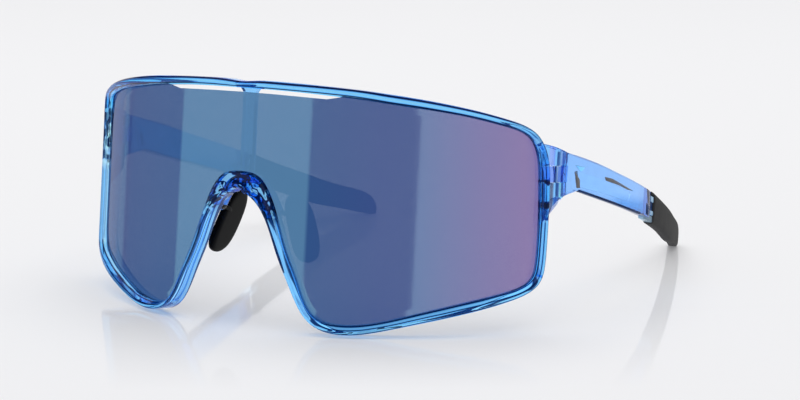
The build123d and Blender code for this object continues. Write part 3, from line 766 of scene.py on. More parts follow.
def zone_marks(s, z):
    """Strength of each painted light and shade feature of the rim material at a place on the front.
    """
    shade_glint_patches = 0.0
    if abs(s) < 15 and z < 12:
        shade_glint_patches = ease(z, -5.0, -1.5) if s > 0 else ease(z, -4.0, 0.5)
    if s > 72:
        shade_glint_patches = max(0.8 * band(z, 13.5, 15.5, 19, 21), 0.7 * band(z, 0.0, 1.0, 3.5, 4.5),
                   0.12 * ease(z, 0, 2))
    if s < -72:
        shade_glint_patches = 0.85 * band(z, 2.0, 4.0, 17, 20)
    # share of the painted light and shade lines at this place
    painted_light_lines = 1.0
    if s < -72 and z < 3:
        painted_light_lines = 0.45
    if 8 < s < 24 and z < 2:
        painted_light_lines = 0.28
    return dict(painted_light_lines=painted_light_lines, bar=ease(z, 18, 22) * (1 - ease(abs(s), 66, 73)), shade_glint_patches=shade_glint_patches,
                lit=0.45 * band(-s, 10, 12, 24, 26) * (1 - ease(z, -3, 0)),
                tone=ease(-s, 60, 72) * ease(z, 14, 20))


def build_rim():
    loop = both_halves(window)
    normals = both_halves(window_out)
    # the groove fades out in the top bar over the free edge of the lens
    over_vent = np.clip((25.6 - np.abs(loop[:, 0])) / 0.8, 0, 1) * (loop[:, 1] > 20)
    grooves = GROOVE_DEPTH * (1 - over_vent) + VENT_GROOVE * over_vent
    marks = {name: [] for name in ("across", "deep", "painted_light_lines", "bar", "shade_glint_patches", "run", "lit", "tone")}
    rings = []
    for spot, normal, width, groove, run in zip(loop, normals, rim_widths(), grooves,
                                                lengths_along(loop)):
        section = rim_section(width, groove)
        out, depth = section.T
        rings.append(wrap(spot[0] + normal[0] * out, spot[1] + normal[1] * out, depth))
        marks["across"] += list(out / width)
        marks["deep"] += list(depth)
        for name, value in dict(run=run, **zone_marks(*spot)).items():
            marks[name] += [value] * len(section)
    rim = loft("front_rim", rings, RIM, sharp=40, closed=True)
    set_marks(rim, marks)
    return rim


rim = build_rim()

# ------------------------------------------------------------------ lens
# (s, z) of the free top edge; its last two points are corners
FREE_EDGE = [(0.0, 27.30), (9.0, 27.22), (17.0, 27.03), (22.3, 26.88), (26.0, 27.62)]
EDGE_IN_GROOVE = 0.48       # how far the lens edge enters the rim
BEVEL_WIDTH, BEVEL_DROP = 2.15, 0.16
BROKEN_CORNER = 0.18        # takes the place of the bevel along the free edge
FRONT, BEVEL, REAR, WALL = range(4)     # kinds of lens face


def lens_edge():
    """Right half of the lens outline, with the corners of its free edge."""
    in_groove = window + window_out * EDGE_IN_GROOVE
    edge = in_groove.copy()
    free = (edge[:, 1] > 20) & (edge[:, 0] < 26.0)
    edge[free, 1] = np.interp(edge[free, 0], *np.transpose(FREE_EDGE))
    step_s = 26.02
    step_z = float(np.interp(step_s, in_groove[:40, 0], in_groove[:40, 1]))
    for corner in (*FREE_EDGE[-2:], (step_s, step_z)):
        i = int(np.argmax(edge[:, 0] > corner[0]))
        edge = np.vstack([edge[:i], [corner], edge[i:]])
    edge[0, 0] = edge[-1, 0] = 0.0
    return edge


def is_inside(s, z, loop):
    """Even-odd test of a point against a closed loop."""
    inside = False
    for here, last in zip(loop, np.roll(loop, 1, 0)):
        if (here[1] > z) != (last[1] > z):
            if s < (last[0] - here[0]) * (z - here[1]) / (last[1] - here[1]) + here[0]:
                inside = not inside
    return inside


def triangulate(outer, inner):
    """Flat points and triangles of the lens, with both loops kept as edges."""
    size = len(outer)
    points = [Vector(pair) for pair in np.vstack([outer, inner]).tolist()]
    edges = [(start + i, start + (i + 1) % size) for start in (0, size) for i in range(size)]
    for s in np.arange(-76, 76.1, 2.0):
        for z in np.arange(-30, 30, 3.0):
            if np.min(distance_to(inner, s, z)) > 0.9 and is_inside(s, z, inner):
                points.append(Vector((float(s), float(z))))
    result = delaunay_2d_cdt(points, edges, [list(range(size))], 1, 1e-6)
    return np.array([(v.x, v.y) for v in result[0]]), result[2]


def lens_faces(flat, triangles, outer, on_edge):
    """Faces of the shell and the kind of each; rear points follow the front ones."""
    count = len(flat)
    faces, kinds = [], []
    for triangle in triangles:
        triangle = list(triangle)
        first, second, third = (flat[i] for i in triangle)
        if ((second[0] - first[0]) * (third[1] - first[1])
                - (second[1] - first[1]) * (third[0] - first[0])) < 0:
            triangle = triangle[::-1]
        faces.append(tuple(triangle))
        kinds.append(BEVEL if any(on_edge[i] for i in triangle) else FRONT)
        faces.append(tuple(i + count for i in triangle[::-1]))
        kinds.append(REAR)
    around = [int(np.argmin(distance_to(flat, *spot))) for spot in outer]
    for here, there in zip(around, around[1:] + around[:1]):
        if here != there:
            faces.append((here, there, there + count, here + count))
            kinds.append(WALL)
    return faces, kinds


def build_lens():
    edge = lens_edge()
    edge_out = outward(edge)
    inset = edge - edge_out * BEVEL_WIDTH
    free = (edge[:, 1] > 20) & (edge[:, 0] < 27.5)
    inset[free] = edge[free] - np.array([0, BROKEN_CORNER])
    inset[0, 0] = inset[-1, 0] = 0.0
    outer = both_halves(edge)
    flat, triangles = triangulate(outer, both_halves(inset))
    count = len(flat)
    on_edge = np.array([np.min(distance_to(outer, *spot)) for spot in flat]) < 1e-4
    front = wrap(flat[:, 0], flat[:, 1], np.where(on_edge, BEVEL_DROP, 0.0))
    rear = wrap(flat[:, 0], flat[:, 1], LENS_THICK)
    faces, kinds = lens_faces(flat, triangles, outer, on_edge)
    mesh = bpy.data.meshes.new("shield_lens")
    mesh.from_pydata([tuple(v) for v in np.vstack([front, rear])], [], faces)
    mesh.update()
    mesh.shade_smooth()
    # exact normals: radial on the two faces, tilted on the bevel, outward on the wall
    sine, cosine = np.sin(flat[:, 0] / LENS_RADIUS), np.cos(flat[:, 0] / LENS_RADIUS)
    radial = turn(np.stack([sine, -cosine, np.zeros(count)], 1))
    nearest = [int(np.argmin(distance_to(outer, *spot))) for spot in flat]
    out_s, out_z = both_halves(edge_out)[nearest].T
    spread = turn(np.stack([cosine * out_s, sine * out_s, out_z], 1))
    tilt = math.atan2(BEVEL_DROP, BEVEL_WIDTH)
    tilted = radial * math.cos(tilt) + spread * math.sin(tilt)
    normals = {FRONT: radial, BEVEL: tilted, REAR: -radial, WALL: spread}
    mesh.normals_split_custom_set([tuple(normals[kinds[face.index]][i % count])
                                   for face in mesh.polygons for i in face.vertices])
    return link_object("shield_lens", mesh, LENS)


lens = build_lens()

# ------------------------------------------------------------------ spine
SPINE_BACK = 3.6
RIB_DEPTH = 0.12
SPINE_COLUMNS = 12
# (height z, half width) from the top down
SPINE_ROWS = [(29.6, 4.0), (28.9, 3.4), (28.25, 2.75), (27.7, 2.2), (27.2, 1.85), (24, 1.8),
              (18, 1.8), (12, 1.8), (7.5, 1.8), (6.2, 2.0)]


def build_spine():
    """Upright strip behind the middle of the lens, with fine ribs on its rear face."""
    rings = []
    for z, half_width in SPINE_ROWS:
        ring = [((-1 + 2 * i / SPINE_COLUMNS) * half_width,
                 SPINE_BACK - (RIB_DEPTH if i % 2 else 0.0)) for i in range(SPINE_COLUMNS + 1)]
        ring += [((1 - 2 * i / 4) * (half_width - 0.05), LENS_SEAT) for i in range(5)]
        s, depth = np.array(ring).T
        rings.append(wrap(s, z, depth))
    return loft("centre_spine", rings, FRAME, sharp=50)


spine = build_spine()


# ------------------------------------------------------------------ rings and prisms
def inset_ring(ring, amount):
    """Anticlockwise ring moved inward."""
    ring = np.asarray(ring, float)
    before = left_of(unit(ring - np.roll(ring, 1, 0), 1e-12))
    after = left_of(unit(np.roll(ring, -1, 0) - ring, 1e-12))
    middle = unit(before + after, 1e-12)
    shrink = np.clip((middle * before).sum(1), 0.5, 1)
    return ring + middle * (amount / shrink)[:, None]


def anticlockwise(ring):
    ring = np.asarray(ring, float)
    x, y = ring.T
    area = 0.5 * np.sum(x * np.roll(y, -1) - np.roll(x, -1) * y)
    return ring[::-1] if area < 0 else ring


def soften(ring, radius, steps=3):
    """Round the corners of a polygon."""
    ring = np.array(ring, float)
    rounded = []
    for i, corner in enumerate(ring):
        to_last = ring[i - 1] - corner
        to_next = ring[(i + 1) % len(ring)] - corner
        last_length, next_length = np.linalg.norm(to_last), np.linalg.norm(to_next)
        if np.dot(to_last, to_next) / (last_length * next_length) < -0.97:
            rounded.append(corner)
            continue
        cut = min(radius, last_length * 0.45, next_length * 0.45)
        start = corner + to_last / last_length * cut
        end = corner + to_next / next_length * cut
        for k in range(steps + 1):
            part = k / steps
            rounded.append((1 - part) ** 2 * start + 2 * part * (1 - part) * corner
                           + part ** 2 * end)
    return np.array(rounded)


def subdivide(ring, step=0.6):
    """Add points so that no side is much longer than step."""
    fine = []
    for start, end in zip(ring, np.roll(ring, -1, 0)):
        count = max(1, int(np.linalg.norm(end - start) / step))
        fine += [start + (end - start) * j / count for j in range(count)]
    return np.array(fine)


def prism(name, ring, low, high, material, edge_round=0.22):
    """Upright block on a ring of (x, y) between two heights given as functions of y."""
    ring = anticlockwise(ring)
    lows = np.array([low(y) for _, y in ring])
    highs = np.array([high(y) for _, y in ring])
    rows = []
    for heights, side, angles in ((lows, 1, QUARTER), (highs, -1, QUARTER[::-1])):
        for angle in angles:
            inset = inset_ring(ring, edge_round * (1 - math.sin(angle)))
            rows.append(place(inset[:, 0], inset[:, 1],
                              heights + side * edge_round * (1 - math.cos(angle))))
    return loft(name, rows, material, sharp=30)


# ------------------------------------------------------------------ hinge lugs
# (y, z) of the lugs' lower and upper faces
lug_low = straight_line([(30.0, -3.0), (32.5, -0.6), (33.6, 0.9), (34.3, 2.4), (35.0, 3.8),
                         (36.2, 4.9), (37.5, 5.4), (38.8, 5.8), (40.6, 6.3)])
lug_top = straight_line([(30.0, 19.6), (31.4, 19.2), (33.4, 18.75), (35.6, 18.2),
                         (38.4, 17.5), (40.6, 16.95)])
# (x, y) plans of a lug and of the web that joins the two
LUG_PLAN = [(64.9, 31.4), (66.6, 32.7), (67.6, 34.2), (68.25, 36.0), (HINGE_SIDE_X, 38.0),
            (HINGE_SIDE_X, LUG_END), (66.9, LUG_END), (65.63, 39.77), (65.12, 38.5),
            (65.1, 37.2), (64.7, 36.3), (63.6, 35.6), (62.9, 34.5)]
WEB_PLAN = [(64.9, 31.4), (66.6, 32.7), (67.6, 34.2), (68.1, 35.6), (66.6, 36.1),
            (64.6, 36.2), (63.6, 35.6), (62.9, 34.5)]
LUG_CLEARANCE = 0.08
WEB_OVERLAP = 0.03

lug_ring = subdivide(soften(LUG_PLAN, 0.35))
left_lugs = [
    prism("lug_upper_left", lug_ring, lambda y: SPLIT_HIGH + LUG_CLEARANCE, lug_top, HINGE),
    prism("lug_lower_left", lug_ring, lug_low, lambda y: SPLIT_LOW - LUG_CLEARANCE, HINGE),
    prism("lug_web_left", subdivide(soften(WEB_PLAN, 0.3)), lambda y: SPLIT_LOW - WEB_OVERLAP,
          lambda y: SPLIT_HIGH + WEB_OVERLAP, HINGE, edge_round=0.05),
]

# ------------------------------------------------------------------ temples
# (y, x) of the outer face, then (y, z) of the top and bottom edges
outer_x = smooth_line([
    (40.38, HINGE_SIDE_X), (50.0, 68.65), (60.0, 68.70), (70.0, 68.45), (80.0, 67.85),
    (90.0, 66.95), (100.0, 65.55), (110.0, 63.60), (120.0, 61.10), (130.0, 58.10),
    (138.0, 55.30), (146.0, 52.20)], count=900)
temple_top = smooth_line([(39.3, 17.15), (45.0, 16.2), (58.8, 13.6), (69.0, 11.3),
                          (80.5, 8.8), (90.0, 6.6), (98.6, 4.5)])
temple_rear_low = smooth_line([(47.6, 7.35), (55.2, 5.9), (65.0, 4.0), (78.3, 1.5),
                               (85.8, 0.0), (92.0, -1.25), (98.6, -2.5)])
temple_front_low = straight_line([(39.3, 6.05), (47.6, 7.35)])


def temple_low(y):
    return temple_front_low(y) if y < 47.6 else temple_rear_low(y)


def rounded_box(outer, inner, low, high, radius):
    """Ring of (x, z) with rounded corners, anticlockwise."""
    ring = []
    for x, z, start in ((outer - radius, high - radius, 0), (inner + radius, high - radius, 90),
                        (inner + radius, low + radius, 180), (outer - radius, low + radius, 270)):
        ring += arc(x, z, radius, start, start + 90, 3)
    return np.array(ring)


def temple_piece(name, start, end, material, low, high, outer=0.0, inner=TEMPLE_THICK,
                 corner=0.42, end_round=0.25, step=1.0):
    """Bar along the temple from y start to end. Outer and inner are the depths of
    its two faces below the temple's outer face; low and high are functions of y."""
    count = max(2, int((end - start) / step))
    round_end = [(end_round * (1 - math.cos(angle)), end_round * (1 - math.sin(angle)))
                 for angle in QUARTER[:3]]
    stations = [(start + along, inset) for along, inset in round_end]
    stations += [(y, 0.0) for y in np.linspace(start + end_round, end - end_round, count)]
    stations += [(end - along, inset) for along, inset in round_end[::-1]]
    rows = []
    for y, inset in stations:
        outer_face = outer_x(y) - outer - inset
        inner_face = outer_x(y) - inner + inset
        bottom, top = float(low(y)) + inset, float(high(y)) - inset
        radius = min(corner, (outer_face - inner_face) * 0.45, (top - bottom) * 0.45)
        x, z = rounded_box(outer_face, inner_face, bottom, top, radius).T
        rows.append(place(x, y, z))
    return loft(name, rows, material, sharp=38)


temple = temple_piece("temple_body_left", LUG_END + 0.08, TEMPLE_END, TEMPLE, temple_low,
                      temple_top)
# core that carries the tip
tang = temple_piece("temple_tang_left", TEMPLE_END - 0.1, 100.4, WINDOW_BLUE,
                    lambda y: temple_low(y) + 0.75, lambda y: temple_top(y) - 0.85,
                    outer=0.45, inner=TEMPLE_THICK - 0.45, corner=0.3, end_round=0.1)
# two small bosses on the outer face of the tang
BOSS = dict(outer=0.12, inner=1.2, corner=0.2, end_round=0.15, step=0.5)
boss_high = temple_piece("tang_boss_upper_left", 95.5, 97.9, WINDOW_ICE,
                         lambda y: temple_top(y) - 2.6, lambda y: temple_top(y) - 1.1, **BOSS)
boss_low = temple_piece("tang_boss_lower_left", 95.5, 98.2, WINDOW_ICE,
                        lambda y: temple_low(y) + 1.0, lambda y: temple_low(y) + 2.2, **BOSS)
# clear sole under the tang, between the temple and the rubber
sole = temple_piece("tang_sole_left", 92.6, 98.6, CLEAR,
                    straight_line([(92.6, -1.95), (98.6, -3.35)]),
                    lambda y: temple_low(y) + 0.85, outer=0.35, inner=TEMPLE_THICK - 0.3,
                    corner=0.3, end_round=0.2, step=0.6)


def facet(name, material, points, proud=0.03, deep=0.30):
    """Thin plate of (y, z) outline set in the outer face of the temple."""
    outline = subdivide(soften(anticlockwise(points), 0.25, steps=2), 0.8)
    rows = []
    for out, inset in ((proud, 0.10), (proud - 0.04, 0.0), (-deep, 0.0)):
        y, z = inset_ring(outline, inset).T
        rows.append(place(outer_x(y) + out, y, z))
    return loft(name, rows, material, sharp=30)


facets = [
    # grey plate: painted shade on the front wall of the recess
    facet("recess_front_facet_left", RECESS_SHADE,
          [(44.7, 12.2), (47.6, 10.0), (47.95, 7.95), (46.2, 8.05)]),
    facet("recess_glint_left", GLINT, [(44.9, 13.7), (50.4, 13.1), (48.0, 11.9)]),
    # grey plate: painted shade on the long wall of the recess
    facet("recess_wedge_left", RECESS_SHADE,
          [(61.5, 10.35), (66.0, 9.75), (80.2, 6.1), (76.8, 6.45), (70.5, 7.9), (62.2, 9.35)]),
    # grey lilac plate: painted shade at the upper end of the temple
    facet("temple_end_facet_left", END_SHADE_LILAC, [(90.9, 6.3), (93.6, 5.4), (93.6, 1.9), (92.4, 2.4)]),
    facet("temple_end_shade_left", EDGE_SHADE_NAVY,
          [(91.2, 2.5), (92.3, 2.0), (93.7, 1.5), (93.7, -1.2), (91.2, -0.5)]),
    # navy strip: painted shade along the lower edge
    facet("lower_edge_left", EDGE_SHADE_NAVY,
          [(47.6, 7.60), (55.0, 6.20), (66.0, 4.15), (78.0, 1.85), (87.0, 0.15),
           (87.0, -0.42), (78.0, 1.30), (66.0, 3.55), (55.0, 5.62), (47.8, 7.02)],
          proud=0.02, deep=0.9),
]

# (x, y) plan of the knuckle that fills the slot between the lugs
KNUCKLE_PLAN = [(HINGE_SIDE_X, PIN_Y - 0.1), (HINGE_SIDE_X, LUG_END + 0.8),
                (PIN_X - 1.5, LUG_END + 0.8), (PIN_X - 1.72, PIN_Y + 0.2),
                (PIN_X - 1.55, PIN_Y - 0.8), (PIN_X - 0.95, PIN_Y - 1.45),
                (PIN_X, PIN_Y - 1.75), (PIN_X + 0.95, PIN_Y - 1.45)]
knuckle = prism("temple_knuckle_left", subdivide(soften(KNUCKLE_PLAN, 0.3)),
                lambda y: SPLIT_LOW, lambda y: SPLIT_HIGH, HINGE, edge_round=0.15)

# ------------------------------------------------------------------ tips
TIP_FRONT = 98.0
TIP_ROUND_START = 143.0     # from here the end rounds off
TIP_LAST = 144.9            # last station of the two edge curves
# (y, z) of the tip's upper and lower edges
tip_top = smooth_line([(95.2, 5.65), (100.0, 4.35), (107.6, 2.2), (120.2, -1.2),
                       (130.0, -3.9), (138.0, -5.6), (142.5, -7.2), (TIP_LAST, -9.2)])
tip_low = smooth_line([(95.2, -2.95), (104.0, -5.0), (112.9, -7.2), (125.0, -10.3),
                       (135.0, -11.9), (141.0, -13.0), (TIP_LAST, -13.5)])


def build_tip():
    """Rubber sleeve on the end of the temple."""
    stations = np.r_[TIP_FRONT + np.array([0.0, 0.05, 0.2, 0.5]),
                     np.linspace(TIP_FRONT + 1.0, 141.5, 60),
                     TIP_ROUND_START + 2.45 * np.sin(np.radians(np.linspace(0, 88, 10)))]
    shape_x, shape_z = squircle(28, power=4.2).T
    rows = []
    for y in stations:
        past = np.clip((y - TIP_ROUND_START) / 2.5, 0, 1)
        fullness = math.sqrt(max(0.0, 1 - past * past))
        inset = 0.45 * max(0.0, 1 - (y - TIP_FRONT) / 0.45) ** 2
        top, low = float(tip_top(min(y, TIP_LAST))), float(tip_low(min(y, TIP_LAST)))
        middle_z = (top + low) / 2 - 0.6 * past
        half_height = (top - low) / 2 * (0.35 + 0.65 * fullness) - inset
        outer = outer_x(y) + 0.22 - inset
        inner = outer_x(y) - TEMPLE_THICK - 0.30 + inset
        half_width = (outer - inner) / 2 * (0.45 + 0.55 * fullness)
        rows.append(place((outer + inner) / 2 + half_width * shape_x, y,
                          middle_z + half_height * shape_z))
    return loft("temple_tip_rubber_left", rows, TIP_RUBBER, sharp=50)


tip = build_tip()
# the rubber runs forward above the tang and along its inner side
LIP_INNER = TEMPLE_THICK + 0.28
lips = [
    temple_piece("tip_lip_upper_left", 95.3, 98.6, TIP_RUBBER, lambda y: tip_top(y) - 1.0,
                 lambda y: tip_top(y) - 0.35, outer=-0.12, inner=LIP_INNER, corner=0.28,
                 end_round=0.2, step=0.5),
    temple_piece("tip_lip_inner_left", 96.4, 98.6, TIP_RUBBER, lambda y: tip_low(y) + 1.6,
                 lambda y: tip_top(y) - 0.1, outer=TEMPLE_THICK - 0.1, inner=LIP_INNER,
                 corner=0.2, end_round=0.15, step=0.5),
]

# ------------------------------------------------------------------ nose pads
PAD_MIDDLE = np.array([11.2, 12.2, -5.4])
PAD_LEAN, PAD_FLARE = math.radians(21.0), math.radians(5.0)
# outline as (down the pad, back across it)
PAD_OUTLINE = [(-8.6, -1.4), (-8.0, 2.2), (-4.6, 4.3), (0.0, 4.6), (4.6, 4.0), (8.0, 2.1),
               (8.9, -1.2), (7.7, -4.4), (3.6, -5.4), (-2.0, -5.0), (-6.6, -3.9)]
# (height through the pad, scale of the outline)
PAD_PROFILE = [(-1.15, 0.70), (-1.13, 0.84), (-1.0, 0.94), (-0.75, 0.985), (-0.3, 1.0),
               (-0.18, 0.985), (-0.1, 0.985), (0.02, 1.0), (0.5, 0.985), (0.85, 0.94),
               (1.05, 0.86), (1.15, 0.72), (1.28, 0.45), (1.34, 0.15)]


def closed_spline(points, count):
    """Evenly spaced points on a closed spline."""
    knots = np.array(points, float)
    curve = spline(np.vstack([knots[-3:], knots, knots[:3]]), 6000)
    # the curve passes the first given point twice; keep the one turn between
    miss = distance_to(curve, *knots[0])
    index = np.arange(len(curve))
    first = int(np.argmin(miss + (index > len(curve) * 0.6) * 9))
    last = len(curve) - 1 - int(np.argmin((miss + (index < len(curve) * 0.5) * 9)[::-1]))
    turn_once = curve[first:last]
    marks = lengths_along(turn_once)
    return read_rows(np.linspace(0, marks[-1], count, endpoint=False), marks, turn_once)


def build_pad():
    down = np.array([math.sin(PAD_LEAN), 0, -math.cos(PAD_LEAN)])
    back = np.array([math.sin(PAD_FLARE), math.cos(PAD_FLARE), 0])
    normal = np.cross(down, back)
    normal /= np.linalg.norm(normal)
    back = np.cross(normal, down)
    outline = closed_spline(PAD_OUTLINE, 56)
    centre = outline.mean(0)
    rows = []
    for height, scale in PAD_PROFILE:
        ring = centre + (outline - centre) * scale
        spots = PAD_MIDDLE + ring[:, :1] * down + ring[:, 1:] * back + normal * height * 0.98
        rows.append(place(*spots.T))
    return loft("nose_pad_rubber_left", rows, PAD_RUBBER, sharp=60)


pad = build_pad()

# ------------------------------------------------------------------ nose bridge
# (x, z) of the strap's middle line from the centre to the left foot
ARCH_HALF = np.array([(0.0, 5.5), (2.6, 5.25), (4.6, 4.25), (6.2, 2.6), (7.5, 0.5),
                      (8.5, -1.5), (8.9, -2.4)])
ARCH_STEPS = 60
ARCH_HALF_WIDTH = 0.85
ARCH_DEPTH = 2.6


def build_arch():
    """A slim clear strap behind the bridge, with a foot at each pad."""
    line = spline(np.vstack([ARCH_HALF[::-1] * MIRROR, ARCH_HALF[1:]]), 900)
    marks = lengths_along(line)
    centres = read_rows(np.linspace(0, marks[-1], ARCH_STEPS + 1), marks, line)
    normals = left_of(unit(np.gradient(centres, axis=0)))
    shape_across, shape_back = squircle(20, power=3.4).T
    rows = []
    for i, (centre, normal) in enumerate(zip(centres, normals)):
        from_end = min(i, ARCH_STEPS - i)
        taper = min(1.0, 0.45 + 0.55 * math.sqrt(min(1.0, from_end / 3.0)))
        across = shape_across * ARCH_HALF_WIDTH * taper
        # the strap starts just behind the rim, which curves with the lens
        front = LENS_RADIUS - math.sqrt((LENS_RADIUS - 3.35) ** 2 - centre[0] ** 2)
        half_depth = ARCH_DEPTH * (0.8 + 0.2 * taper) / 2
        rows.append(place(centre[0] + normal[0] * across,
                          front + half_depth + shape_back * half_depth,
                          centre[1] + normal[1] * across))
    ob = loft("nose_bridge_arch", rows, HOLDER, sharp=45)
    size = len(shape_across)
    ones = np.ones(len(rows) * size)
    set_marks(ob, dict(across=np.tile(0.5 + 0.5 * shape_across, len(rows)), deep=ones * 0.0,
                       shade_glint_patches=ones * 0.8, run=np.repeat(np.arange(len(rows)) * 0.5, size),
                       painted_light_lines=ones, bar=ones * 0.0))
    return ob


arch = build_arch()
# block above the middle of the arch
seat_ring = soften([(-2.8, 5.6), (2.8, 5.6), (2.8, 9.0), (-2.8, 9.0)], 0.7, steps=4)
seat = prism("insert_seat_block", subdivide(seat_ring, 0.7), lambda y: 3.35, lambda y: 5.9,
             FRAME, edge_round=0.3)

STEM_RADIUS = 0.62
# (x, y, z) from the foot of the arch into the pad
STEM_LINE = np.array([(8.6, 4.6, -1.6), (8.6, 6.4, -1.8), (8.9, 8.6, -2.3), (9.9, 10.6, -3.4),
                      (10.9, 12.0, -5.0)])


def build_stem():
    """Round rubber bar with narrowed ends."""
    line = read_rows(np.linspace(0, 1, 24), np.linspace(0, 1, len(STEM_LINE)), STEM_LINE)
    for _ in range(4):
        line[1:-1] = 0.25 * line[:-2] + 0.5 * line[1:-1] + 0.25 * line[2:]
    rows = []
    for i, (centre, ahead) in enumerate(zip(line, unit(np.gradient(line, axis=0)))):
        side = np.cross(ahead, np.array([0.0, 0.0, 1.0]))
        side /= np.linalg.norm(side)
        other = np.cross(ahead, side)
        from_end = min(i, len(line) - 1 - i)
        radius = STEM_RADIUS * min(1.0, 0.55 + 0.25 * from_end)
        ring = [centre + radius * (side * math.cos(angle) + other * math.sin(angle))
                for angle in np.linspace(0, 2 * math.pi, 14, endpoint=False)]
        rows.append(place(*np.array(ring).T))
    return loft("nose_pad_stem_left", rows, PAD_RUBBER, sharp=60)


stem = build_stem()


# ------------------------------------------------------------------ right side
def mirrored(ob):
    mesh = ob.data.copy()
    spots = np.empty(len(mesh.vertices) * 3)
    mesh.vertices.foreach_get("co", spots)
    spots[::3] *= -1
    mesh.vertices.foreach_set("co", spots)
    mesh.flip_normals()
    twin = bpy.data.objects.new(ob.name.replace("_left", "_right"), mesh)
    bpy.context.scene.collection.objects.link(twin)
    return twin


clear_parts = [temple, tang, sole, boss_high, boss_low, knuckle]
temple_parts = clear_parts + [tip] + lips + facets
# right-hand objects by the name of the left-hand one
right = {ob.name: mirrored(ob) for ob in left_lugs + temple_parts + [pad, stem]}
right_lugs = [right[ob.name] for ob in left_lugs]

# ------------------------------------------------------------------ rides and slots
for ob in [rim, lens, spine, arch, seat] + left_lugs + right_lugs:
    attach(ob, "front")
for ob in temple_parts:
    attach(ob, "left_temple_arm")
    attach(right[ob.name], "right_temple_arm")
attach(pad, "left_pad_arm")
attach(stem, "left_pad_arm")
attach(right[stem.name], "right_pad_arm")
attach(right[pad.name], "right_pad_arm")

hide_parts("front_frame")
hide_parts("lens")
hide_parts("temple_left")
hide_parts("temple_right")
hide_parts("temple_tip_left", "temple_tip_wire_left")
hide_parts("temple_tip_right", "temple_tip_wire_right")
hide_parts("nose_bridge_holder")
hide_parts("nose_pad_left")
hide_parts("nose_pad_right")
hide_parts("nose_pad_wire_left")
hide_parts("nose_pad_wire_right")

# CAD nodes that stay in view get their own materials
for node_name, material in (("temple_inlay", INLAY), ("hinge_pin", STEEL)):
    for side in ("left", "right"):
        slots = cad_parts[f"{node_name}_{side}"].data.materials
        slots.clear()
        slots.append(material)

# ------------------------------------------------------------------ studio
BACKDROP = (0.888, 0.888, 0.905)


def floor_material():
    """Pale table that evens out the light and mirrors less towards the camera."""
    material, nodes = new_material("studio_floor")
    coords = nodes.coords()
    x, y, _ = nodes.split(coords)
    cloud = nodes.noise(coords, scale=9.0, detail=3.0, rough=0.5)
    matt = nodes.add("BsdfDiffuse",
                     Color=nodes.mix(cloud, (0.600, 0.600, 0.610), (0.604, 0.604, 0.614)))
    base = nodes.add("AddShader", matt, nodes.add("Emission", Color=(0.236, 0.236, 0.241)))
    # distance away from the camera along its line of sight, in metres
    away = nodes.plus(nodes.times(x, -0.5217), nodes.times(y, 0.8531))
    mirror_share = nodes.remap(away, (-0.122, -0.045), (0.0, 0.20))
    shine = nodes.glossy((1, 1, 1), roughness=0.05)
    nodes.add("OutputMaterial", Surface=nodes.add("MixShader", mirror_share, base, shine))
    return material


FLOOR_REACH = 6
floor_corners = [(x * FLOOR_REACH, y * FLOOR_REACH, 0)
                 for x, y in ((-1, -1), (1, -1), (1, 1), (-1, 1))]
floor = link_object("studio_floor", new_mesh("studio_floor", floor_corners, [(0, 1, 2, 3)]),
                    floor_material())
floor.visible_glossy = False


def grey(value):
    return (value, value, value)


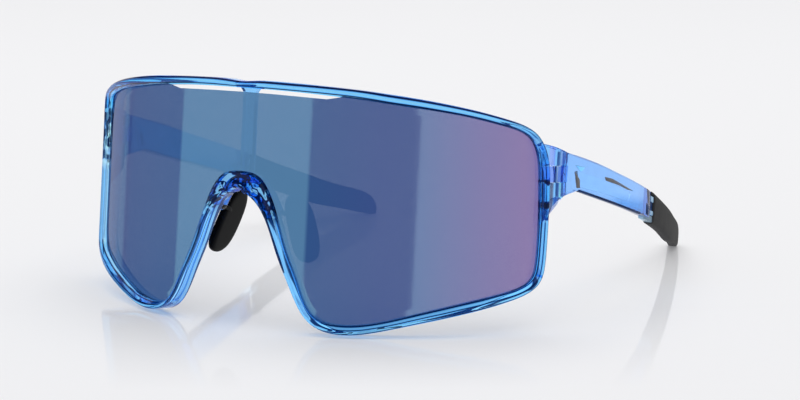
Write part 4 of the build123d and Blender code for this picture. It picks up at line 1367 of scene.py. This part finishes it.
def build_world():
    """Studio of panels for reflections, overhead light for diffuse surfaces and a
    plain backdrop for the camera."""
    world = bpy.data.worlds.new("studio")
    bpy.context.scene.world = world
    world.use_nodes = True
    nodes = Nodes(world.node_tree)
    x, y, z = nodes.split(nodes.add("TexCoord").outputs["Generated"])
    # azimuth: 0 straight ahead of the wearer (-y), positive to the wearer's left
    azimuth = nodes.math("ARCTAN2", x, nodes.times(y, -1.0))
    around = nodes.plus(nodes.math("DIVIDE", azimuth, 2 * math.pi), 0.5)
    bright, dark = grey(1.0), (0.38, 0.43, 0.66)
    edge = 0.25     # half width of a panel's edge, degrees
    panels = nodes.ramp(
        around,
        (-180, bright),
        (-150, (1.05, 1.03, 1.0)),
        (-112, (0.86, 0.84, 0.88)),
        (-102.7 - edge, (0.78, 0.74, 0.84)),
        (-102.7 + edge, (0.42, 0.38, 0.62)),
        (-97, -63.9 - edge, dark),
        (-63.9 + edge, -7.8 - edge, bright),
        (-7.8 + edge, 31.1 - edge, dark),
        (31.1 + edge, (1.02, 1.02, 1.0)),
        (110, (1.05, 1.05, 1.02)),
        (180, bright),
        span=(-180.0, 180.0))
    # overhead: a large softbox with dark gaps round it
    overhead = nodes.ramp(
        nodes.remap(z, (-1.0, 1.0)),
        (0.0, 0.40, 0.615, bright), (0.635, (0.05, 0.06, 0.10)), (0.70, (0.02, 0.03, 0.06)),
        (0.745, (0.05, 0.06, 0.10)), (0.76, 0.90, grey(1.25)), (0.915, 1.0, (0.10, 0.12, 0.18)))
    reflected = nodes.multiply(panels, overhead)
    # a low patch of plain wall behind the object, for its reflection in the floor
    wall = nodes.times(
        nodes.remap(azimuth, (math.radians(-166), math.radians(-163))),
        nodes.remap(azimuth, (math.radians(-135), math.radians(-132)), (1.0, 0.0)))
    wall = nodes.times(wall, nodes.remap(z, (0.36, 0.40), (1.0, 0.0)))
    reflected = nodes.mix(wall, reflected, BACKDROP)
    rays = nodes.add("LightPath").outputs
    # diffuse light comes mostly from overhead, so shadows stay close to the contacts
    even = nodes.ramp(nodes.remap(z, (-1.0, 1.0)), (0.0, 0.50, grey(0.35)), (0.85, grey(0.38)),
                      (0.92, grey(1.85)), (1.0, grey(1.95)))
    plain = nodes.mix(rays["Is Camera Ray"], even, BACKDROP)
    bounced = nodes.math("MAXIMUM", rays["Is Glossy Ray"], rays["Is Transmission Ray"])
    color = nodes.mix(bounced, plain, reflected)
    nodes.add("OutputWorld", Surface=nodes.add("Background", Color=color, Strength=1.0))


def build_key_light():
    """Soft light above and behind, aimed at the origin."""
    light = bpy.data.lights.new("key_top", "AREA")
    light.shape = "RECTANGLE"
    light.size, light.size_y = 0.7, 0.5
    light.energy = 1.2
    ob = bpy.data.objects.new("key_top", light)
    bpy.context.scene.collection.objects.link(ob)
    ob.location = (-0.25, 0.35, 0.9)
    ob.rotation_euler = (-Vector(ob.location)).to_track_quat("-Z", "Y").to_euler()
    ob.visible_glossy = False
    ob.visible_transmission = False


CAMERA_PLACE = (317.363, -513.646, 129.470)                     # millimetres
CAMERA_YAW, CAMERA_PITCH, CAMERA_ROLL = 0.5489, 0.1792, -0.0069     # radians


def build_camera():
    """Long lens, ahead of the glasses on the wearer's left, looking slightly down."""
    data = bpy.data.cameras.new("camera")
    camera = bpy.data.objects.new("camera", data)
    bpy.context.scene.collection.objects.link(camera)
    data.sensor_fit = "HORIZONTAL"
    data.sensor_width = 36.0
    data.lens = 101.7252
    data.clip_start = 0.01
    level_ahead = Vector((-math.sin(CAMERA_YAW), math.cos(CAMERA_YAW), 0))
    level_side = Vector((math.cos(CAMERA_YAW), math.sin(CAMERA_YAW), 0))
    upright = Vector((0, 0, 1))
    ahead = level_ahead * math.cos(CAMERA_PITCH) - upright * math.sin(CAMERA_PITCH)
    pitched_up = upright * math.cos(CAMERA_PITCH) + level_ahead * math.sin(CAMERA_PITCH)
    side = level_side * math.cos(CAMERA_ROLL) + pitched_up * math.sin(CAMERA_ROLL)
    top = pitched_up * math.cos(CAMERA_ROLL) - level_side * math.sin(CAMERA_ROLL)
    rotation = Matrix((side, top, -ahead)).transposed()
    camera.matrix_world = (Matrix.Translation(Vector(CAMERA_PLACE) * 0.001)
                           @ rotation.to_4x4())
    bpy.context.scene.camera = camera


build_world()
build_key_light()
build_camera()
bpy.context.scene.view_settings.view_transform = "Standard"
